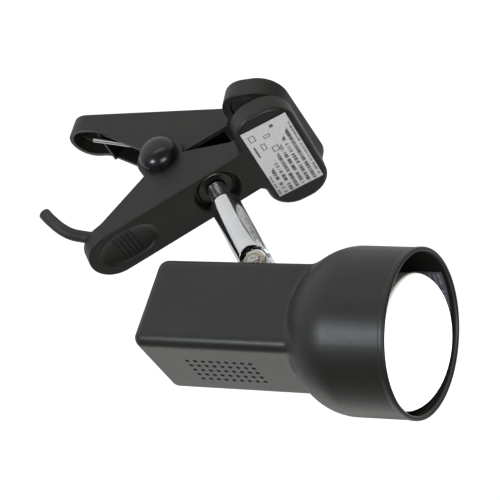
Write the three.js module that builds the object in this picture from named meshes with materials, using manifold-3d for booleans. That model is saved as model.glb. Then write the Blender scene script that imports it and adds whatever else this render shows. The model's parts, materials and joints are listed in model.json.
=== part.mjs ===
// Clip-on clamp spotlight: two sprung clamp arms, a hollow stem with a half-lap knuckle, and a square lamp
// can with a bell shade round a reflector bulb. Millimetres, +Z up, +X the way the jaws point.
// The origin is the centre of the gripping face of the stem arm's jaw pad.
import * as THREE from "three";
import { mergeVertices } from "three/addons/utils/BufferGeometryUtils.js";
import Module from "manifold-3d";

const wasm = await Module();
wasm.setup();

// ---- Driving dimensions ----
const GAP = 0.3; // running gap between neighbouring pieces

const ARM = {
  closedAngle: 37.8, // between the two arms' outer faces, jaws closed
  plate: 2.4,
  wall: 2.2,
  earRadius: 12.5,
  pinHole: 2.7,
  edge: 1.2, // rounded outer edges
};
// Each arm's own frame: origin on the pivot, x towards the jaw, z out of the arm's outer face.
// bendX is where the arm bends into its jaw head, headTilt is how far the head leans out, and headTurn how
// far it is turned in its own plane. In the head's own frame it starts at rear, reaches left to its +y side
// and right to its -y side, and its ends are rounded by corner. A spring leg bears on the rib at ribX.
const STEM_ARM = {
  tip: -57.9, half: 14.7, face: 28.3, rim: 19.6, rimX: -43, ribX: -47.6, ribEdge: 19.3,
  jawRim: 17.2, bendX: 33, headTilt: 6, headTurn: 0, rear: 4, left: 34, right: 36.6, corner: 14,
};
const PLAIN_ARM = {
  tip: -67, half: 11.6, face: 31.8, rim: 21.6, rimX: -49, ribX: -44, ribEdge: 18,
  jawRim: 20.2, bendX: 30.2, headTilt: 4.5, headTurn: -2, rear: 2.5, left: 38.6, right: 32.8, corner: 14,
};

const JAW = { front: 36, neck: 4.5, deep: 10.8, noseAngle: 13.6, noseRun: 7 };
const PAD = { centreX: 17.4, halfX: 9.4, halfY: 29, thick: 3, corner: 8, edge: 0.9, ribPitch: 4 };
const LABEL = { length: 52.2, width: 24.8, centreX: 20.6, centreY: 0.9, thick: 0.25 };
const THUMB = {
  centreX: -35.6, halfX: 15.4, halfY: 10.3, deep: 1.9, skin: 1.6, ribs: 5, ribPitch: 2.4, ribShift: -1.3,
};

const SEAT = { x: 16.4, radius: 12.4, deep: 4.6, floor: 2.6, bossRadius: 13.9 };
const NIPPLE = { radius: 4.9, bore: 3.6, thread: 0.45, pitch: 1.25 };
const STEM = { radius: 7.85, start: 9, length: 57.2, wall: 1.3, swivel: 2.82 };
const KNUCKLE = {
  shoulder: 8.4, tongue: 6.4, flat: 5.6, screw: 2, tilt: 41.1, above: 9.5, flange: 9, spigot: 5.5,
};

const WALL = 1.4; // of the lamp housing
const CAN = { side: 47.3, corner: 5.4, behind: 41.56, length: 96 };
const VENT = { rows: 5, columns: 9, pitch: 4.3, radius: 1.05, first: 24.4, offset: -1.5 };
const BELL = { radius: 39.5, domeLength: 34, domeX: 108.3, rimX: 138.4, bead: 1.3 };
const STICKER = { turn: 30, rear: 120, front: 135 };
const HOLDER = { x: 26, droop: 2.4, radius: 16.6, bore: 14.2, length: 43, base: 14, flat: 15.3, screw: 8 };
const BULB = { x: 41.4, capRadius: 13, glassRadius: 31.5, length: 104.2 };

const PIN = { radius: 2.5, half: 18 };
const CAP = { radius: 10, height: 8.6, skirt: 2.2 };
const SPRING = { coil: 8.6, wire: 1, half: 7.8, past: 4, turns: 5, steps: 96 };
const CORD = { radius: 3.1, core: 1.1, clampX: -33.5, clampY: 3.2, screwReach: 6.2 };
const RIB_HALF = 0.6;

// ---- Materials ----
const finish = (color, roughness, metalness = 0) =>
  new THREE.MeshStandardMaterial({ color, roughness, metalness });
const PLASTIC = finish(0x2b2b28, 0.55);
const GLOSS = finish(0x1c1c1c, 0.15);
const RUBBER = finish(0x202020, 0.9);
const CHROME = finish(0xd4d4d8, 0.12, 1);
const STEEL = finish(0xb8b8b4, 0.35, 1);
const DARK_STEEL = finish(0x2a2a2c, 0.4, 1);
const BRASS = finish(0xc9a557, 0.3, 1);
const PAINT = finish(0x34342f, 0.45, 0.2);
const SILVER_LABEL = finish(0xb9b9bb, 0.4, 0.4);
const CORD_PVC = finish(0x4a4b45, 0.7);
const BROWN = finish(0x6b3f22, 0.6);
const BLUE = finish(0x2f5f9e, 0.6);
const SLEEVE = finish(0xd8c8b0, 0.9);
const BAKELITE = finish(0x1d1a18, 0.35);
const FROSTED = finish(0xf6f4ee, 0.35);

// ---- Solid helpers ----
const DEG = Math.PI / 180;
const VOID = new THREE.Matrix4();

// A closed three.js geometry as a manifold solid, moved by a matrix and with its faces turned outward.
function solid(geometry, matrix = VOID) {
  const bare = geometry.clone().applyMatrix4(matrix);
  bare.deleteAttribute("normal");
  bare.deleteAttribute("uv");
  const merged = mergeVertices(bare, 1e-4);
  const vertProperties = new Float32Array(merged.attributes.position.array);
  const triVerts = new Uint32Array(merged.index.array);
  const made = new wasm.Manifold(new wasm.Mesh({ numProp: 3, vertProperties, triVerts }));
  if (made.volume() > 0) return made;
  triVerts.reverse();
  return new wasm.Manifold(new wasm.Mesh({ numProp: 3, vertProperties, triVerts }));
}

function join(...parts) {
  return parts.reduce((whole, part) => whole.add(part));
}

function cut(body, ...tools) {
  return tools.reduce((rest, tool) => rest.subtract(tool), body);
}

function move(x, y, z) {
  return new THREE.Matrix4().makeTranslation(x, y, z);
}

function turn(axis, degrees) {
  const unit = { x: [1, 0, 0], y: [0, 1, 0], z: [0, 0, 1] }[axis];
  return new THREE.Matrix4().makeRotationAxis(new THREE.Vector3(...unit), degrees * DEG);
}

function chain(...matrices) {
  return matrices.reduce((all, next) => all.clone().multiply(next));
}

function block(x0, x1, y0, y1, z0, z1, matrix = VOID) {
  const box = new THREE.BoxGeometry(x1 - x0, y1 - y0, z1 - z0);
  return solid(box, chain(matrix, move((x0 + x1) / 2, (y0 + y1) / 2, (z0 + z1) / 2)));
}

// A rod from start to end along one axis, centred on the point given by the two other coordinates.
function rod(axis, radius, start, end, a = 0, b = 0, segments = 24) {
  const cylinder = new THREE.CylinderGeometry(radius, radius, end - start, segments);
  const middle = (start + end) / 2;
  if (axis === "x") return solid(cylinder, chain(move(middle, a, b), turn("z", 90)));
  if (axis === "y") return solid(cylinder, move(a, middle, b));
  return solid(cylinder, chain(move(a, b, middle), turn("x", 90)));
}

// A shape in the XY plane raised from z0 to z1. A bevel rounds both faces inside the outline.
function plate(shape, z0, z1, bevel = 0, curveSegments = 4) {
  const geometry = new THREE.ExtrudeGeometry(shape, {
    depth: z1 - z0 - 2 * bevel,
    bevelEnabled: bevel > 0,
    bevelSize: bevel,
    bevelThickness: bevel,
    bevelOffset: -bevel,
    bevelSegments: 2,
    curveSegments,
  });
  return solid(geometry, move(0, 0, z0 + bevel));
}

// A shape drawn in the XZ plane (its y is z) and carried through from y0 to y1.
function slab(shape, y0, y1, curveSegments = 8) {
  const geometry = new THREE.ExtrudeGeometry(shape, { depth: y1 - y0, bevelEnabled: false, curveSegments });
  return solid(geometry, chain(move(0, y1, 0), turn("x", 90)));
}

// A profile of [x, radius] points turned about X. Both ends lie on the axis, or the profile closes.
function turnedX(points, segments = 32, matrix = VOID) {
  const profile = points.map(([x, r]) => new THREE.Vector2(r, x));
  return solid(new THREE.LatheGeometry(profile, segments), chain(matrix, turn("z", -90)));
}

// The same about the Z axis, from [z, radius] points.
function turnedZ(points, segments = 28, matrix = VOID) {
  return turnedX(points, segments, chain(matrix, turn("y", -90)));
}

function tube(points, radius, steps, sides) {
  const knots = points.map((p) => new THREE.Vector3(...p));
  const path = new THREE.CatmullRomCurve3(knots, false, "centripetal");
  return sweep(path, radius, steps, sides);
}

function sweep(path, radius, steps, sides) {
  const ring = new THREE.Shape();
  ring.absarc(0, 0, radius, 0, 2 * Math.PI, false);
  const options = { steps, extrudePath: path, curveSegments: sides, bevelEnabled: false };
  return solid(new THREE.ExtrudeGeometry(ring, options));
}

function hexagon(across) {
  const shape = new THREE.Shape();
  for (let i = 0; i < 6; i++) {
    const angle = (i * 60 + 30) * DEG;
    const corner = [(across / Math.sqrt(3)) * Math.cos(angle), (across / Math.sqrt(3)) * Math.sin(angle)];
    if (i === 0) shape.moveTo(...corner);
    else shape.lineTo(...corner);
  }
  shape.closePath();
  return shape;
}

// A rectangle with round corners, centred on (x, y).
function roundRect(x, y, halfX, halfY, corner) {
  const shape = new THREE.Shape();
  shape.absarc(x + halfX - corner, y - halfY + corner, corner, -Math.PI / 2, 0, false);
  shape.absarc(x + halfX - corner, y + halfY - corner, corner, 0, Math.PI / 2, false);
  shape.absarc(x - halfX + corner, y + halfY - corner, corner, Math.PI / 2, Math.PI, false);
  shape.absarc(x - halfX + corner, y - halfY + corner, corner, Math.PI, 1.5 * Math.PI, false);
  shape.closePath();
  return shape;
}

function piece(name, made, material, parent) {
  const data = made.getMesh();
  const geometry = new THREE.BufferGeometry();
  geometry.setAttribute("position", new THREE.BufferAttribute(data.vertProperties, 3));
  geometry.setIndex(new THREE.BufferAttribute(data.triVerts, 1));
  geometry.computeVertexNormals();
  const mesh = new THREE.Mesh(geometry, material);
  mesh.name = name;
  parent.add(mesh);
  return mesh;
}

// ---- Clamp arms ----

// The arm seen from above: a rounded handle end and straight sides.
function armOutline({ tip, half, bendX, rear }, inset = 0) {
  const radius = half - inset;
  const shape = new THREE.Shape();
  shape.absarc(tip + half, 0, radius, Math.PI / 2, 1.5 * Math.PI, false);
  shape.lineTo(bendX + rear, -radius);
  shape.lineTo(bendX + rear, radius);
  shape.closePath();
  return shape;
}

// The arm seen from the side: level outer face, side wings that deepen to a round ear at the pivot.
function armSide({ tip, face, rim, rimX, jawRim, bendX, rear }) {
  const shape = new THREE.Shape();
  const end = bendX + rear;
  shape.moveTo(tip - 1, face + 1);
  shape.lineTo(tip - 1, rim);
  shape.lineTo(rimX, rim);
  shape.absarc(0, 0, ARM.earRadius, 152 * DEG, 26 * DEG, false);
  shape.lineTo(bendX + 1, jawRim);
  shape.lineTo(end, jawRim + 1);
  shape.lineTo(end, face + 1);
  shape.closePath();
  return shape;
}

// The jaw head seen from above, in the frame of the bend: a wide rounded bar with fillets to the arm.
function jawOutline({ half, corner, rear, left, right }) {
  const { front, neck } = JAW;
  const start = rear - neck - 0.5;
  const shape = new THREE.Shape();
  shape.moveTo(start, -half);
  shape.lineTo(rear - neck, -half);
  shape.absarc(rear - neck, -half - neck, neck, Math.PI / 2, 0, true);
  shape.absarc(rear + corner, corner - right, corner, Math.PI, 1.5 * Math.PI, false);
  shape.absarc(front - corner, corner - right, corner, -Math.PI / 2, 0, false);
  shape.absarc(front - corner, left - corner, corner, 0, Math.PI / 2, false);
  shape.absarc(rear + corner, left - corner, corner, Math.PI / 2, Math.PI, false);
  shape.absarc(rear - neck, half + neck, neck, 0, -Math.PI / 2, true);
  shape.lineTo(start, half);
  shape.closePath();
  return shape;
}

// From the bend's tilted frame to the arm's own frame.
const bendFrame = (arm) =>
  chain(move(arm.bendX, 0, arm.face), turn("y", -arm.headTilt), turn("z", arm.headTurn));

function jawHead(arm) {
  const { deep, front, noseRun, noseAngle } = JAW;
  const head = plate(jawOutline(arm), -deep, 0, ARM.edge);
  const nose = block(0, 20, -50, 50, -12, 0, chain(move(front - noseRun, 0, -deep), turn("y", -noseAngle)));
  const seat = roundRect(PAD.centreX, 0, PAD.halfX + GAP, PAD.halfY + GAP, PAD.corner);
  const hollow = roundRect(PAD.centreX, 0, PAD.halfX - 2, PAD.halfY - 2, PAD.corner - 2);
  const shell = cut(
    head,
    nose,
    plate(seat, -deep - 1, PAD.thick - deep + GAP),
    plate(hollow, -deep - 1, -ARM.plate),
  );
  const { centreX, halfX, thick } = PAD;
  const web = block(centreX - halfX, centreX + halfX, -0.9, 0.9, -deep + thick + GAP, -1);
  return transformed(join(shell, web), bendFrame(arm));
}

function transformed(body, matrix) {
  return body.transform(matrix.elements);
}

function thumbOval(margin) {
  const oval = new THREE.Shape();
  oval.absellipse(0, 0, THUMB.halfX + margin, THUMB.halfY + margin, 0, 2 * Math.PI, false, 0);
  return oval;
}

// A shallow oval dish for the thumb, with raised ribs across its middle.
function thumbDish(face) {
  const dish = plate(thumbOval(0), face - THUMB.deep, face + 1, 0, 12);
  const ribs = [];
  for (let i = 0; i < THUMB.ribs; i++) {
    const x = (i - (THUMB.ribs - 1) / 2) * THUMB.ribPitch + THUMB.ribShift;
    ribs.push(block(x - 0.6, x + 0.6, -THUMB.halfY, THUMB.halfY, face - THUMB.deep - 1, face - 0.35));
  }
  return transformed(cut(dish, ...ribs), move(THUMB.centreX, 0, 0));
}

function armShell(arm) {
  const { half, face, bendX, ribX, ribEdge } = arm;
  const side = slab(armSide(arm), -40, 40);
  const outer = plate(armOutline(arm), face - 50, face, ARM.edge, 5).intersect(side);
  const channel = plate(armOutline(arm, ARM.wall), face - 60, face - ARM.plate);
  const front = block(bendX - 1, bendX + 20, -50, 50, -50, face);
  const beam = cut(outer, cut(channel, front));
  const reach = half - ARM.wall / 2;
  const rib = block(ribX - RIB_HALF, ribX + RIB_HALF, -reach, reach, ribEdge, face - 1);
  const thumbBack = plate(thumbOval(1), face - THUMB.deep - THUMB.skin, face - 1, 0, 8);
  const inside = plate(armOutline(arm, 1), 0, face);
  const backing = transformed(thumbBack, move(THUMB.centreX, 0, 0)).intersect(inside);
  const pinHole = rod("y", ARM.pinHole, -30, 30);
  return cut(join(beam, jawHead(arm), rib, backing), pinHole, thumbDish(face));
}

function stemArmShell() {
  const { face } = STEM_ARM;
  const { x, radius, deep, floor, bossRadius } = SEAT;
  const boss = rod("z", bossRadius, face - deep - floor, face - 1, x, 0, 40);
  const mouth = turnedZ([[face + 1, 0], [face + 1, radius + 1], [face, radius + 0.6], [face - 1, radius],
    [face - deep, radius - 0.8], [face - deep, 0]], 48, move(x, 0, 0));
  const hole = rod("z", NIPPLE.radius + GAP, 0, face, x, 0);
  const { clampX, clampY, screwReach } = CORD;
  const posts = [-1, 1].map((side) => rod("z", 2.4, 20.4, face - 2, clampX, clampY + side * screwReach));
  const taps = [-1, 1].map((side) => rod("z", 1.3, 20, 25, clampX, clampY + side * screwReach, 12));
  const cordWay = tube(cordPath(), CORD.radius + GAP, 22, 4);
  const postsClear = cut(join(...posts), cordWay);
  return cut(join(armShell(STEM_ARM), boss, postsClear), mouth, hole, cordWay, ...taps);
}

// The centre line of the cord: out of the arm's handle end, over the rim, and down beside the other handle.
function cordPath() {
  return [[-27, 3.2, 20.7], [-38, 3.4, 20.6], [-48.2, 7.6, 18.6], [-54.8, 10.5, 14.6], [-58.4, 13, 11.9],
    [-61.4, 15.5, 7.3], [-63.9, 17.5, 0.4], [-65.1, 18.5, -4.4]];
}

function padSolid() {
  const { centreX, halfX, halfY, thick, corner, edge, ribPitch } = PAD;
  const body = plate(roundRect(centreX, 0, halfX, halfY, corner), -JAW.deep, thick - JAW.deep, edge, 2);
  const grooves = [];
  for (const y of [-6, -5, -4, -3, 3, 4, 5, 6]) {
    grooves.push(block(0, 40, y * ribPitch - 0.6, y * ribPitch + 0.6, -JAW.deep - 1, 0.7 - JAW.deep));
  }
  return cut(body, ...grooves);
}

// ---- Pivot, spring and cord ----

function domeCap(side) {
  const base = STEM_ARM.half + GAP;
  const { radius, height, skirt } = CAP;
  const profile = [[0, 0], [0, radius - 0.4], [0.4, radius], [skirt, radius]];
  for (let i = 1; i <= 6; i++) {
    const angle = (i / 6) * 90 * DEG;
    profile.push([skirt + (height - skirt) * Math.sin(angle), i === 6 ? 0 : radius * Math.cos(angle)]);
  }
  const dome = turnedZ(profile, 28, chain(turn("x", -90 * side), move(0, 0, base)));
  return cut(dome, rod("y", PIN.radius + GAP, -PIN.half - GAP, PIN.half + GAP, 0, 0, 24));
}

// The spring's wire: a straight leg, a coil wound along y from its far end to its near end, a second leg.
// Each leg leaves the coil on its own arm's side and runs a little past the point given as [x, z].
class SpringCurve extends THREE.Curve {
  constructor(startPoint, endPoint) {
    super();
    const tangentLength = ([x, z]) => Math.sqrt(x * x + z * z - SPRING.coil ** 2);
    const lead = (point) => Math.atan2(tangentLength(point), SPRING.coil);
    this.startLeg = tangentLength(startPoint) + SPRING.past;
    this.endLeg = tangentLength(endPoint) + SPRING.past;
    this.startAngle = Math.atan2(startPoint[1], startPoint[0]) - lead(startPoint);
    const endAngle = Math.atan2(endPoint[1], endPoint[0]) + lead(endPoint);
    const part = THREE.MathUtils.euclideanModulo(this.startAngle - endAngle, 2 * Math.PI);
    this.coilLength = (part + SPRING.turns * 2 * Math.PI) * SPRING.coil;
  }
  getPoint(t, target = new THREE.Vector3()) {
    const { coil, half } = SPRING;
    const along = t * (this.startLeg + this.coilLength + this.endLeg) - this.startLeg;
    const onCoil = Math.min(Math.max(along, 0), this.coilLength);
    const beyond = along - onCoil;
    const angle = this.startAngle - onCoil / coil;
    const x = coil * Math.cos(angle) + beyond * Math.sin(angle);
    const z = coil * Math.sin(angle) - beyond * Math.cos(angle);
    const y = -half + (2 * half * onCoil) / this.coilLength;
    return target.set(x, y, z);
  }
}

// Where a spring leg rests on an arm's cross rib, as [x, z] in that arm's own frame.
const legRest = (arm) => [arm.ribX, arm.ribEdge - SPRING.wire - GAP];

function torsionSpring() {
  const [x, z] = legRest(PLAIN_ARM);
  const alongPin = new THREE.Vector3(0, 1, 0);
  const closed = new THREE.Vector3(x, 0, -z).applyAxisAngle(alongPin, -ARM.closedAngle * DEG);
  const curve = new SpringCurve(legRest(STEM_ARM), [closed.x, closed.z]);
  return sweep(curve, SPRING.wire, SPRING.steps, 3);
}

function screw(headRadius, headHeight, shank, length) {
  return turnedZ([[0, 0], [0, headRadius], [headHeight * 0.5, headRadius], [headHeight, headRadius * 0.6],
    [headHeight, 0]], 20).add(rod("z", shank, -length, 0.2, 0, 0, 16))
    .subtract(block(-headRadius, headRadius, -0.35, 0.35, headHeight * 0.5, headHeight + 1));
}

// ---- Groups: the frame of the jaw pad holds the stem arm, and everything else hangs on that ----
const lamp = new THREE.Group();

const stemArm = new THREE.Group();
const jawPlace = move(-PAD.centreX, 0, JAW.deep);
const bendPlace = move(-STEM_ARM.bendX, 0, -STEM_ARM.face);
stemArm.applyMatrix4(chain(jawPlace, turn("y", STEM_ARM.headTilt), bendPlace));
lamp.add(stemArm);

const stemJaw = new THREE.Group();
stemJaw.position.set(-PAD.centreX, 0, JAW.deep);
lamp.add(stemJaw);

const plainSwing = new THREE.Group();
plainSwing.rotation.y = -ARM.closedAngle * DEG;
stemArm.add(plainSwing);
const plainArm = new THREE.Group();
plainArm.rotation.x = Math.PI;
plainSwing.add(plainArm);

const stem = new THREE.Group();
stem.position.set(SEAT.x, 0, STEM_ARM.face);
stem.rotation.z = STEM.swivel * DEG;
stemArm.add(stem);

const head = new THREE.Group();
head.position.z = STEM.length;
head.rotation.y = -KNUCKLE.tilt * DEG;
stem.add(head);

const can = new THREE.Group();
can.position.set(-CAN.behind, 0, KNUCKLE.above + CAN.side / 2);
head.add(can);

const holder = new THREE.Group();
holder.position.x = HOLDER.x;
holder.rotation.y = -HOLDER.droop * DEG;
can.add(holder);

// ---- Build: clamp ----
function buildClamp() {
  piece("stem_arm", stemArmShell(), PLASTIC, stemArm);
  piece("stem_arm_pad", padSolid(), RUBBER, stemJaw);
  piece("plain_arm", armShell(PLAIN_ARM), PLASTIC, plainArm);
  piece("plain_arm_pad", transformed(padSolid(), bendFrame(PLAIN_ARM)), RUBBER, plainArm);
  const { length, width, centreX, centreY, thick } = LABEL;
  const label = plate(roundRect(centreX, centreY, width / 2, length / 2, 0.6), GAP, GAP + thick, 0, 3);
  piece("rating_label", label, SILVER_LABEL, stemJaw);

  piece("pivot_pin", rod("y", PIN.radius, -PIN.half, PIN.half, 0, 0, 24), STEEL, stemArm);
  piece("pivot_cap_near", domeCap(1), GLOSS, stemArm);
  piece("pivot_cap_far", domeCap(-1), GLOSS, stemArm);
  piece("torsion_spring", torsionSpring(), STEEL, stemArm);
}

// A tube with its thread rolled between threadFrom and threadTo.
function threadedTube(start, end, threadFrom, threadTo) {
  const { radius, bore, thread, pitch } = NIPPLE;
  const core = radius - thread;
  const profile = [[start, bore], [start, core]];
  for (let z = threadFrom; z < threadTo; z += pitch) {
    profile.push([z, core], [z + pitch / 2, radius]);
  }
  profile.push([threadTo, core], [end, core], [end, bore], [start, bore]);
  return turnedZ(profile, 18);
}

function buildNipple() {
  const nipple = new THREE.Group();
  nipple.position.set(SEAT.x, 0, STEM_ARM.face);
  stemArm.add(nipple);
  const clear = rod("z", NIPPLE.radius + GAP, -30, 30);
  const { deep, floor } = SEAT;
  const under = -deep - floor;
  const tubeBody = threadedTube(under - 5, STEM.start + 7, 1.6 - deep, STEM.start);
  const washer = cut(rod("z", 9.4, GAP - deep, GAP - deep + 1.2, 0, 0, 32), clear);
  const nut = cut(plate(hexagon(14), under - 3.3, under - GAP, 0.3), clear);
  piece("threaded_nipple", tubeBody, STEEL, nipple);
  piece("seat_washer", washer, DARK_STEEL, nipple);
  piece("seat_locknut", nut, STEEL, nipple);
}

function buildCord() {
  piece("power_cord", tube(cordPath(), CORD.radius, 22, 4), CORD_PVC, stemArm);
  const x = SEAT.x;
  const corePath = (side) => [
    [-26.5, 3.2 + 1.4 * side, 20.7], [-18, 2 + 1.8 * side, 21.6], [-6, 1.9 * side, 20], [6, 1.8 * side, 14],
    [x - 1, 1.6 * side, 13.6], [x, 1.5 * side, 19], [x, 1.5 * side, 34],
  ];
  piece("cord_core_brown", tube(corePath(1), CORD.core, 22, 3), BROWN, stemArm);
  piece("cord_core_blue", tube(corePath(-1), CORD.core, 22, 3), BLUE, stemArm);
  const { clampX, clampY, screwReach } = CORD;
  const screws = [-1, 1].map((side) => clampY + side * screwReach);
  const holes = screws.map((y) => rod("z", 1.5, 10, 30, clampX, y, 12));
  const bar = block(clampX - 3, clampX + 3, screws[0] - 2.6, screws[1] + 2.4, 16.4, 20.1);
  const clamp = cut(bar, tube(cordPath(), CORD.radius + GAP, 22, 4), ...holes);
  piece("cord_clamp", clamp, PLASTIC, stemArm);
  screws.forEach((y, i) => {
    const pose = chain(move(clampX, y, 16.1), turn("x", 180));
    piece(`cord_clamp_screw_${i + 1}`, transformed(screw(2.3, 1.3, 1.1, 7), pose), STEEL, stemArm);
  });
}

// ---- Build: stem and knuckle ----
const SCREW_DOWN = chain(turn("x", -90)); // a part made along +z points along +y

function buildStem() {
  const { radius, start, length, wall } = STEM;
  const { shoulder, screw: shaft } = KNUCKLE;
  const end = length + radius;
  const rodProfile = [[start, 0], [start, radius - 0.7], [start + 0.7, radius], [end, radius], [end, 0]];
  const blank = turnedZ(rodProfile, 40);
  const roundEnd = join(block(-20, 20, -20, 20, 0, length), rod("y", radius, -20, 20, 0, length, 40));
  const lap = join(rod("y", shoulder, -0.15, 20, 0, length, 40), block(-20, 20, -0.15, 20, length, 90));
  const seat = start + 8; // how deep the nipple screws in
  const boreEnd = length - shoulder - 5;
  const bores = [
    rod("z", NIPPLE.radius + GAP, start - 1, seat),
    rod("z", radius - wall, seat - 0.01, boreEnd, 0, 0, 28),
    rod("z", 1.7, boreEnd - 1, length - 3.6, 0, 3.4, 12),
    rod("y", shaft + GAP, -20, 20, 0, length, 20),
  ];
  piece("stem_tube", cut(blank.intersect(roundEnd), lap, ...bores), CHROME, stem);
  const sleeve = cut(rod("z", 3.6, seat + 1, boreEnd - 0.6), rod("z", 2.9, 0, 60));
  piece("lead_sleeve", sleeve, SLEEVE, stem);
  piece("stem_lead_brown", rod("z", CORD.core, seat - 6.4, boreEnd - 0.8, 0, 1.5, 12), BROWN, stem);
  piece("stem_lead_blue", rod("z", CORD.core, seat - 6.4, boreEnd - 0.8, 0, -1.5, 12), BLUE, stem);
}

function buildKnuckle() {
  const { tongue, flat, above, screw: shaft, flange, spigot } = KNUCKLE;
  const column = rod("z", STEM.radius - 0.2, -20, above - 0.4, 0, 0, 40);
  const disc = rod("y", tongue, 0.15, flat, 0, 0, 32);
  const lobe = join(disc, block(-tongue, tongue, 0.15, flat, 0, above - 0.5));
  const foot = rod("z", flange, STEM.radius + GAP, above - GAP, 0, 0, 36);
  const neck = rod("z", NIPPLE.radius, above - 1, above + spigot, 0, 0, 24);
  const bore = rod("z", 3, STEM.radius + 1, above + 20, 0, 0, 20);
  const screwWay = rod("y", shaft + GAP, -20, 20, 0, 0, 20);
  const body = cut(join(lobe.intersect(column), foot, neck), bore, screwWay);
  piece("knuckle_base", body, CHROME, head);

  const screwHole = rod("y", shaft + GAP, 0, 20, 0, 0, 20);
  const washer = cut(rod("y", 5.4, flat + 0.1, flat + 0.6, 0, 0, 28), screwHole);
  piece("friction_washer", washer, SLEEVE, head);
  const pivotScrew = transformed(screw(3.3, 1.7, shaft, 17), chain(move(0, flat + 0.7, 0), SCREW_DOWN));
  piece("knuckle_screw", pivotScrew, STEEL, head);
  const nutPlace = chain(move(0, -STEM.radius - 3, 0), SCREW_DOWN);
  const nutBlank = transformed(plate(hexagon(7), 0, 2.6, 0.2), nutPlace);
  const nut = cut(nutBlank, rod("y", shaft + GAP, -20, 0, 0, 0, 20));
  piece("knuckle_nut", nut, STEEL, head);
}

// ---- Build: lamp head ----

// A square tube along x with rounded corners and a rounded closed rear end.
function squareTube(half, corner, start, end) {
  const shape = roundRect(0, 0, half, half, corner);
  const bevel = corner - 0.3;
  const geometry = new THREE.ExtrudeGeometry(shape, {
    depth: end + 20 - start - 2 * bevel,
    bevelEnabled: true,
    bevelSize: bevel,
    bevelThickness: bevel,
    bevelOffset: -bevel,
    bevelSegments: 3,
    curveSegments: 3,
  });
  const long = solid(geometry, chain(move(start + bevel, 0, 0), turn("y", 90)));
  return long.intersect(block(start - 1, end, -half - 1, half + 1, -half - 1, half + 1));
}

function ventHoles() {
  const top = CAN.side / 2;
  const holes = [];
  for (let column = 0; column < VENT.columns; column++) {
    for (let row = 0; row < VENT.rows; row++) {
      const x = VENT.first + column * VENT.pitch;
      const y = (row - (VENT.rows - 1) / 2) * VENT.pitch + VENT.offset;
      holes.push(rod("z", VENT.radius, top - 3, top + 2, x, y, 6));
    }
  }
  return holes;
}

// The bell as a solid of revolution, drawn in by inset: an elliptical dome that runs into a straight skirt.
function bellSolid(inset, end) {
  const { radius, domeLength, domeX } = BELL;
  const profile = [[domeX - (domeLength - inset) * Math.cos(20 * DEG), 0]];
  for (let angle = 20; angle <= 90; angle += 10) {
    const x = domeX - (domeLength - inset) * Math.cos(angle * DEG);
    profile.push([x, (radius - inset) * Math.sin(angle * DEG)]);
  }
  profile.push([end, radius - inset - 0.3], [end, 0]);
  return turnedX(profile, 48);
}

// The square can and the bell are one moulding, hollow from the mouth to the closed rear.
function buildHousing() {
  const half = CAN.side / 2;
  const { corner, length } = CAN;
  const { radius, rimX, bead } = BELL;
  const lip = new THREE.TorusGeometry(radius - bead, bead, 6, 48);
  const rim = solid(lip, chain(move(rimX - bead, 0, 0), turn("y", 90), turn("z", 90)));
  const outer = join(squareTube(half, corner, 0, length), bellSolid(0, rimX - bead), rim);
  const canHollow = squareTube(half - WALL, corner - WALL + 0.2, WALL, length);
  const inner = join(canHollow, bellSolid(WALL, rimX + 5));
  const knuckleHole = rod("z", NIPPLE.radius + GAP, -half - 2, -half + 4, CAN.behind, 0);
  piece("lamp_housing", cut(outer, inner, knuckleHole, ...ventHoles()), PAINT, can);

  const face = radius - WALL - 0.3 - GAP;
  const sticker = new THREE.Shape();
  sticker.absarc(0, 0, face - 0.4, 250 * DEG, 290 * DEG, false);
  sticker.absarc(0, 0, face - 0.7, 290 * DEG, 250 * DEG, true);
  sticker.closePath();
  const lay = chain(turn("x", -STICKER.turn), turn("y", 90), turn("z", 90));
  const strip = plate(sticker, STICKER.rear, STICKER.front, 0, 4);
  piece("shade_sticker", transformed(strip, lay), SILVER_LABEL, can);
}

function buildHolder() {
  const { radius, bore, length, base, flat, screw: reach } = HOLDER;
  const skirtProfile = [
    [0, 0], [0, radius - 2], [4, radius - 1], [6, radius],
    [length, radius], [length, bore], [base, bore], [base, 0],
  ];
  const skirt = turnedX(skirtProfile, 32);
  const flatSide = block(-1, base + 12, -30, 30, -30, -flat);
  const wireHoles = [-1, 1].map((side) => rod("x", 1.6, -1, base + 1, 9 * side, 0, 12));
  const screwHoles = [-1, 1].map((side) => rod("x", 1.6, -1, 8, 0, reach * side, 12));
  piece("lampholder_body", cut(skirt, flatSide, ...wireHoles, ...screwHoles), BAKELITE, holder);
  const shell = turnedX([[base + 1.2, 6], [base + 1.2, 13.9], [length - 3, 13.9], [length - 3, 13.4],
    [base + 1.8, 13.4], [base + 1.8, 6], [base + 1.2, 6]], 28);
  piece("lampholder_shell", shell, BRASS, holder);
  const contact = join(block(14.3, 14.7, -4.5, 4.5, -2, 2), block(14.6, 15.2, -2, 2, -1.6, 1.6));
  piece("lampholder_contact", contact, BRASS, holder);
}

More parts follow.
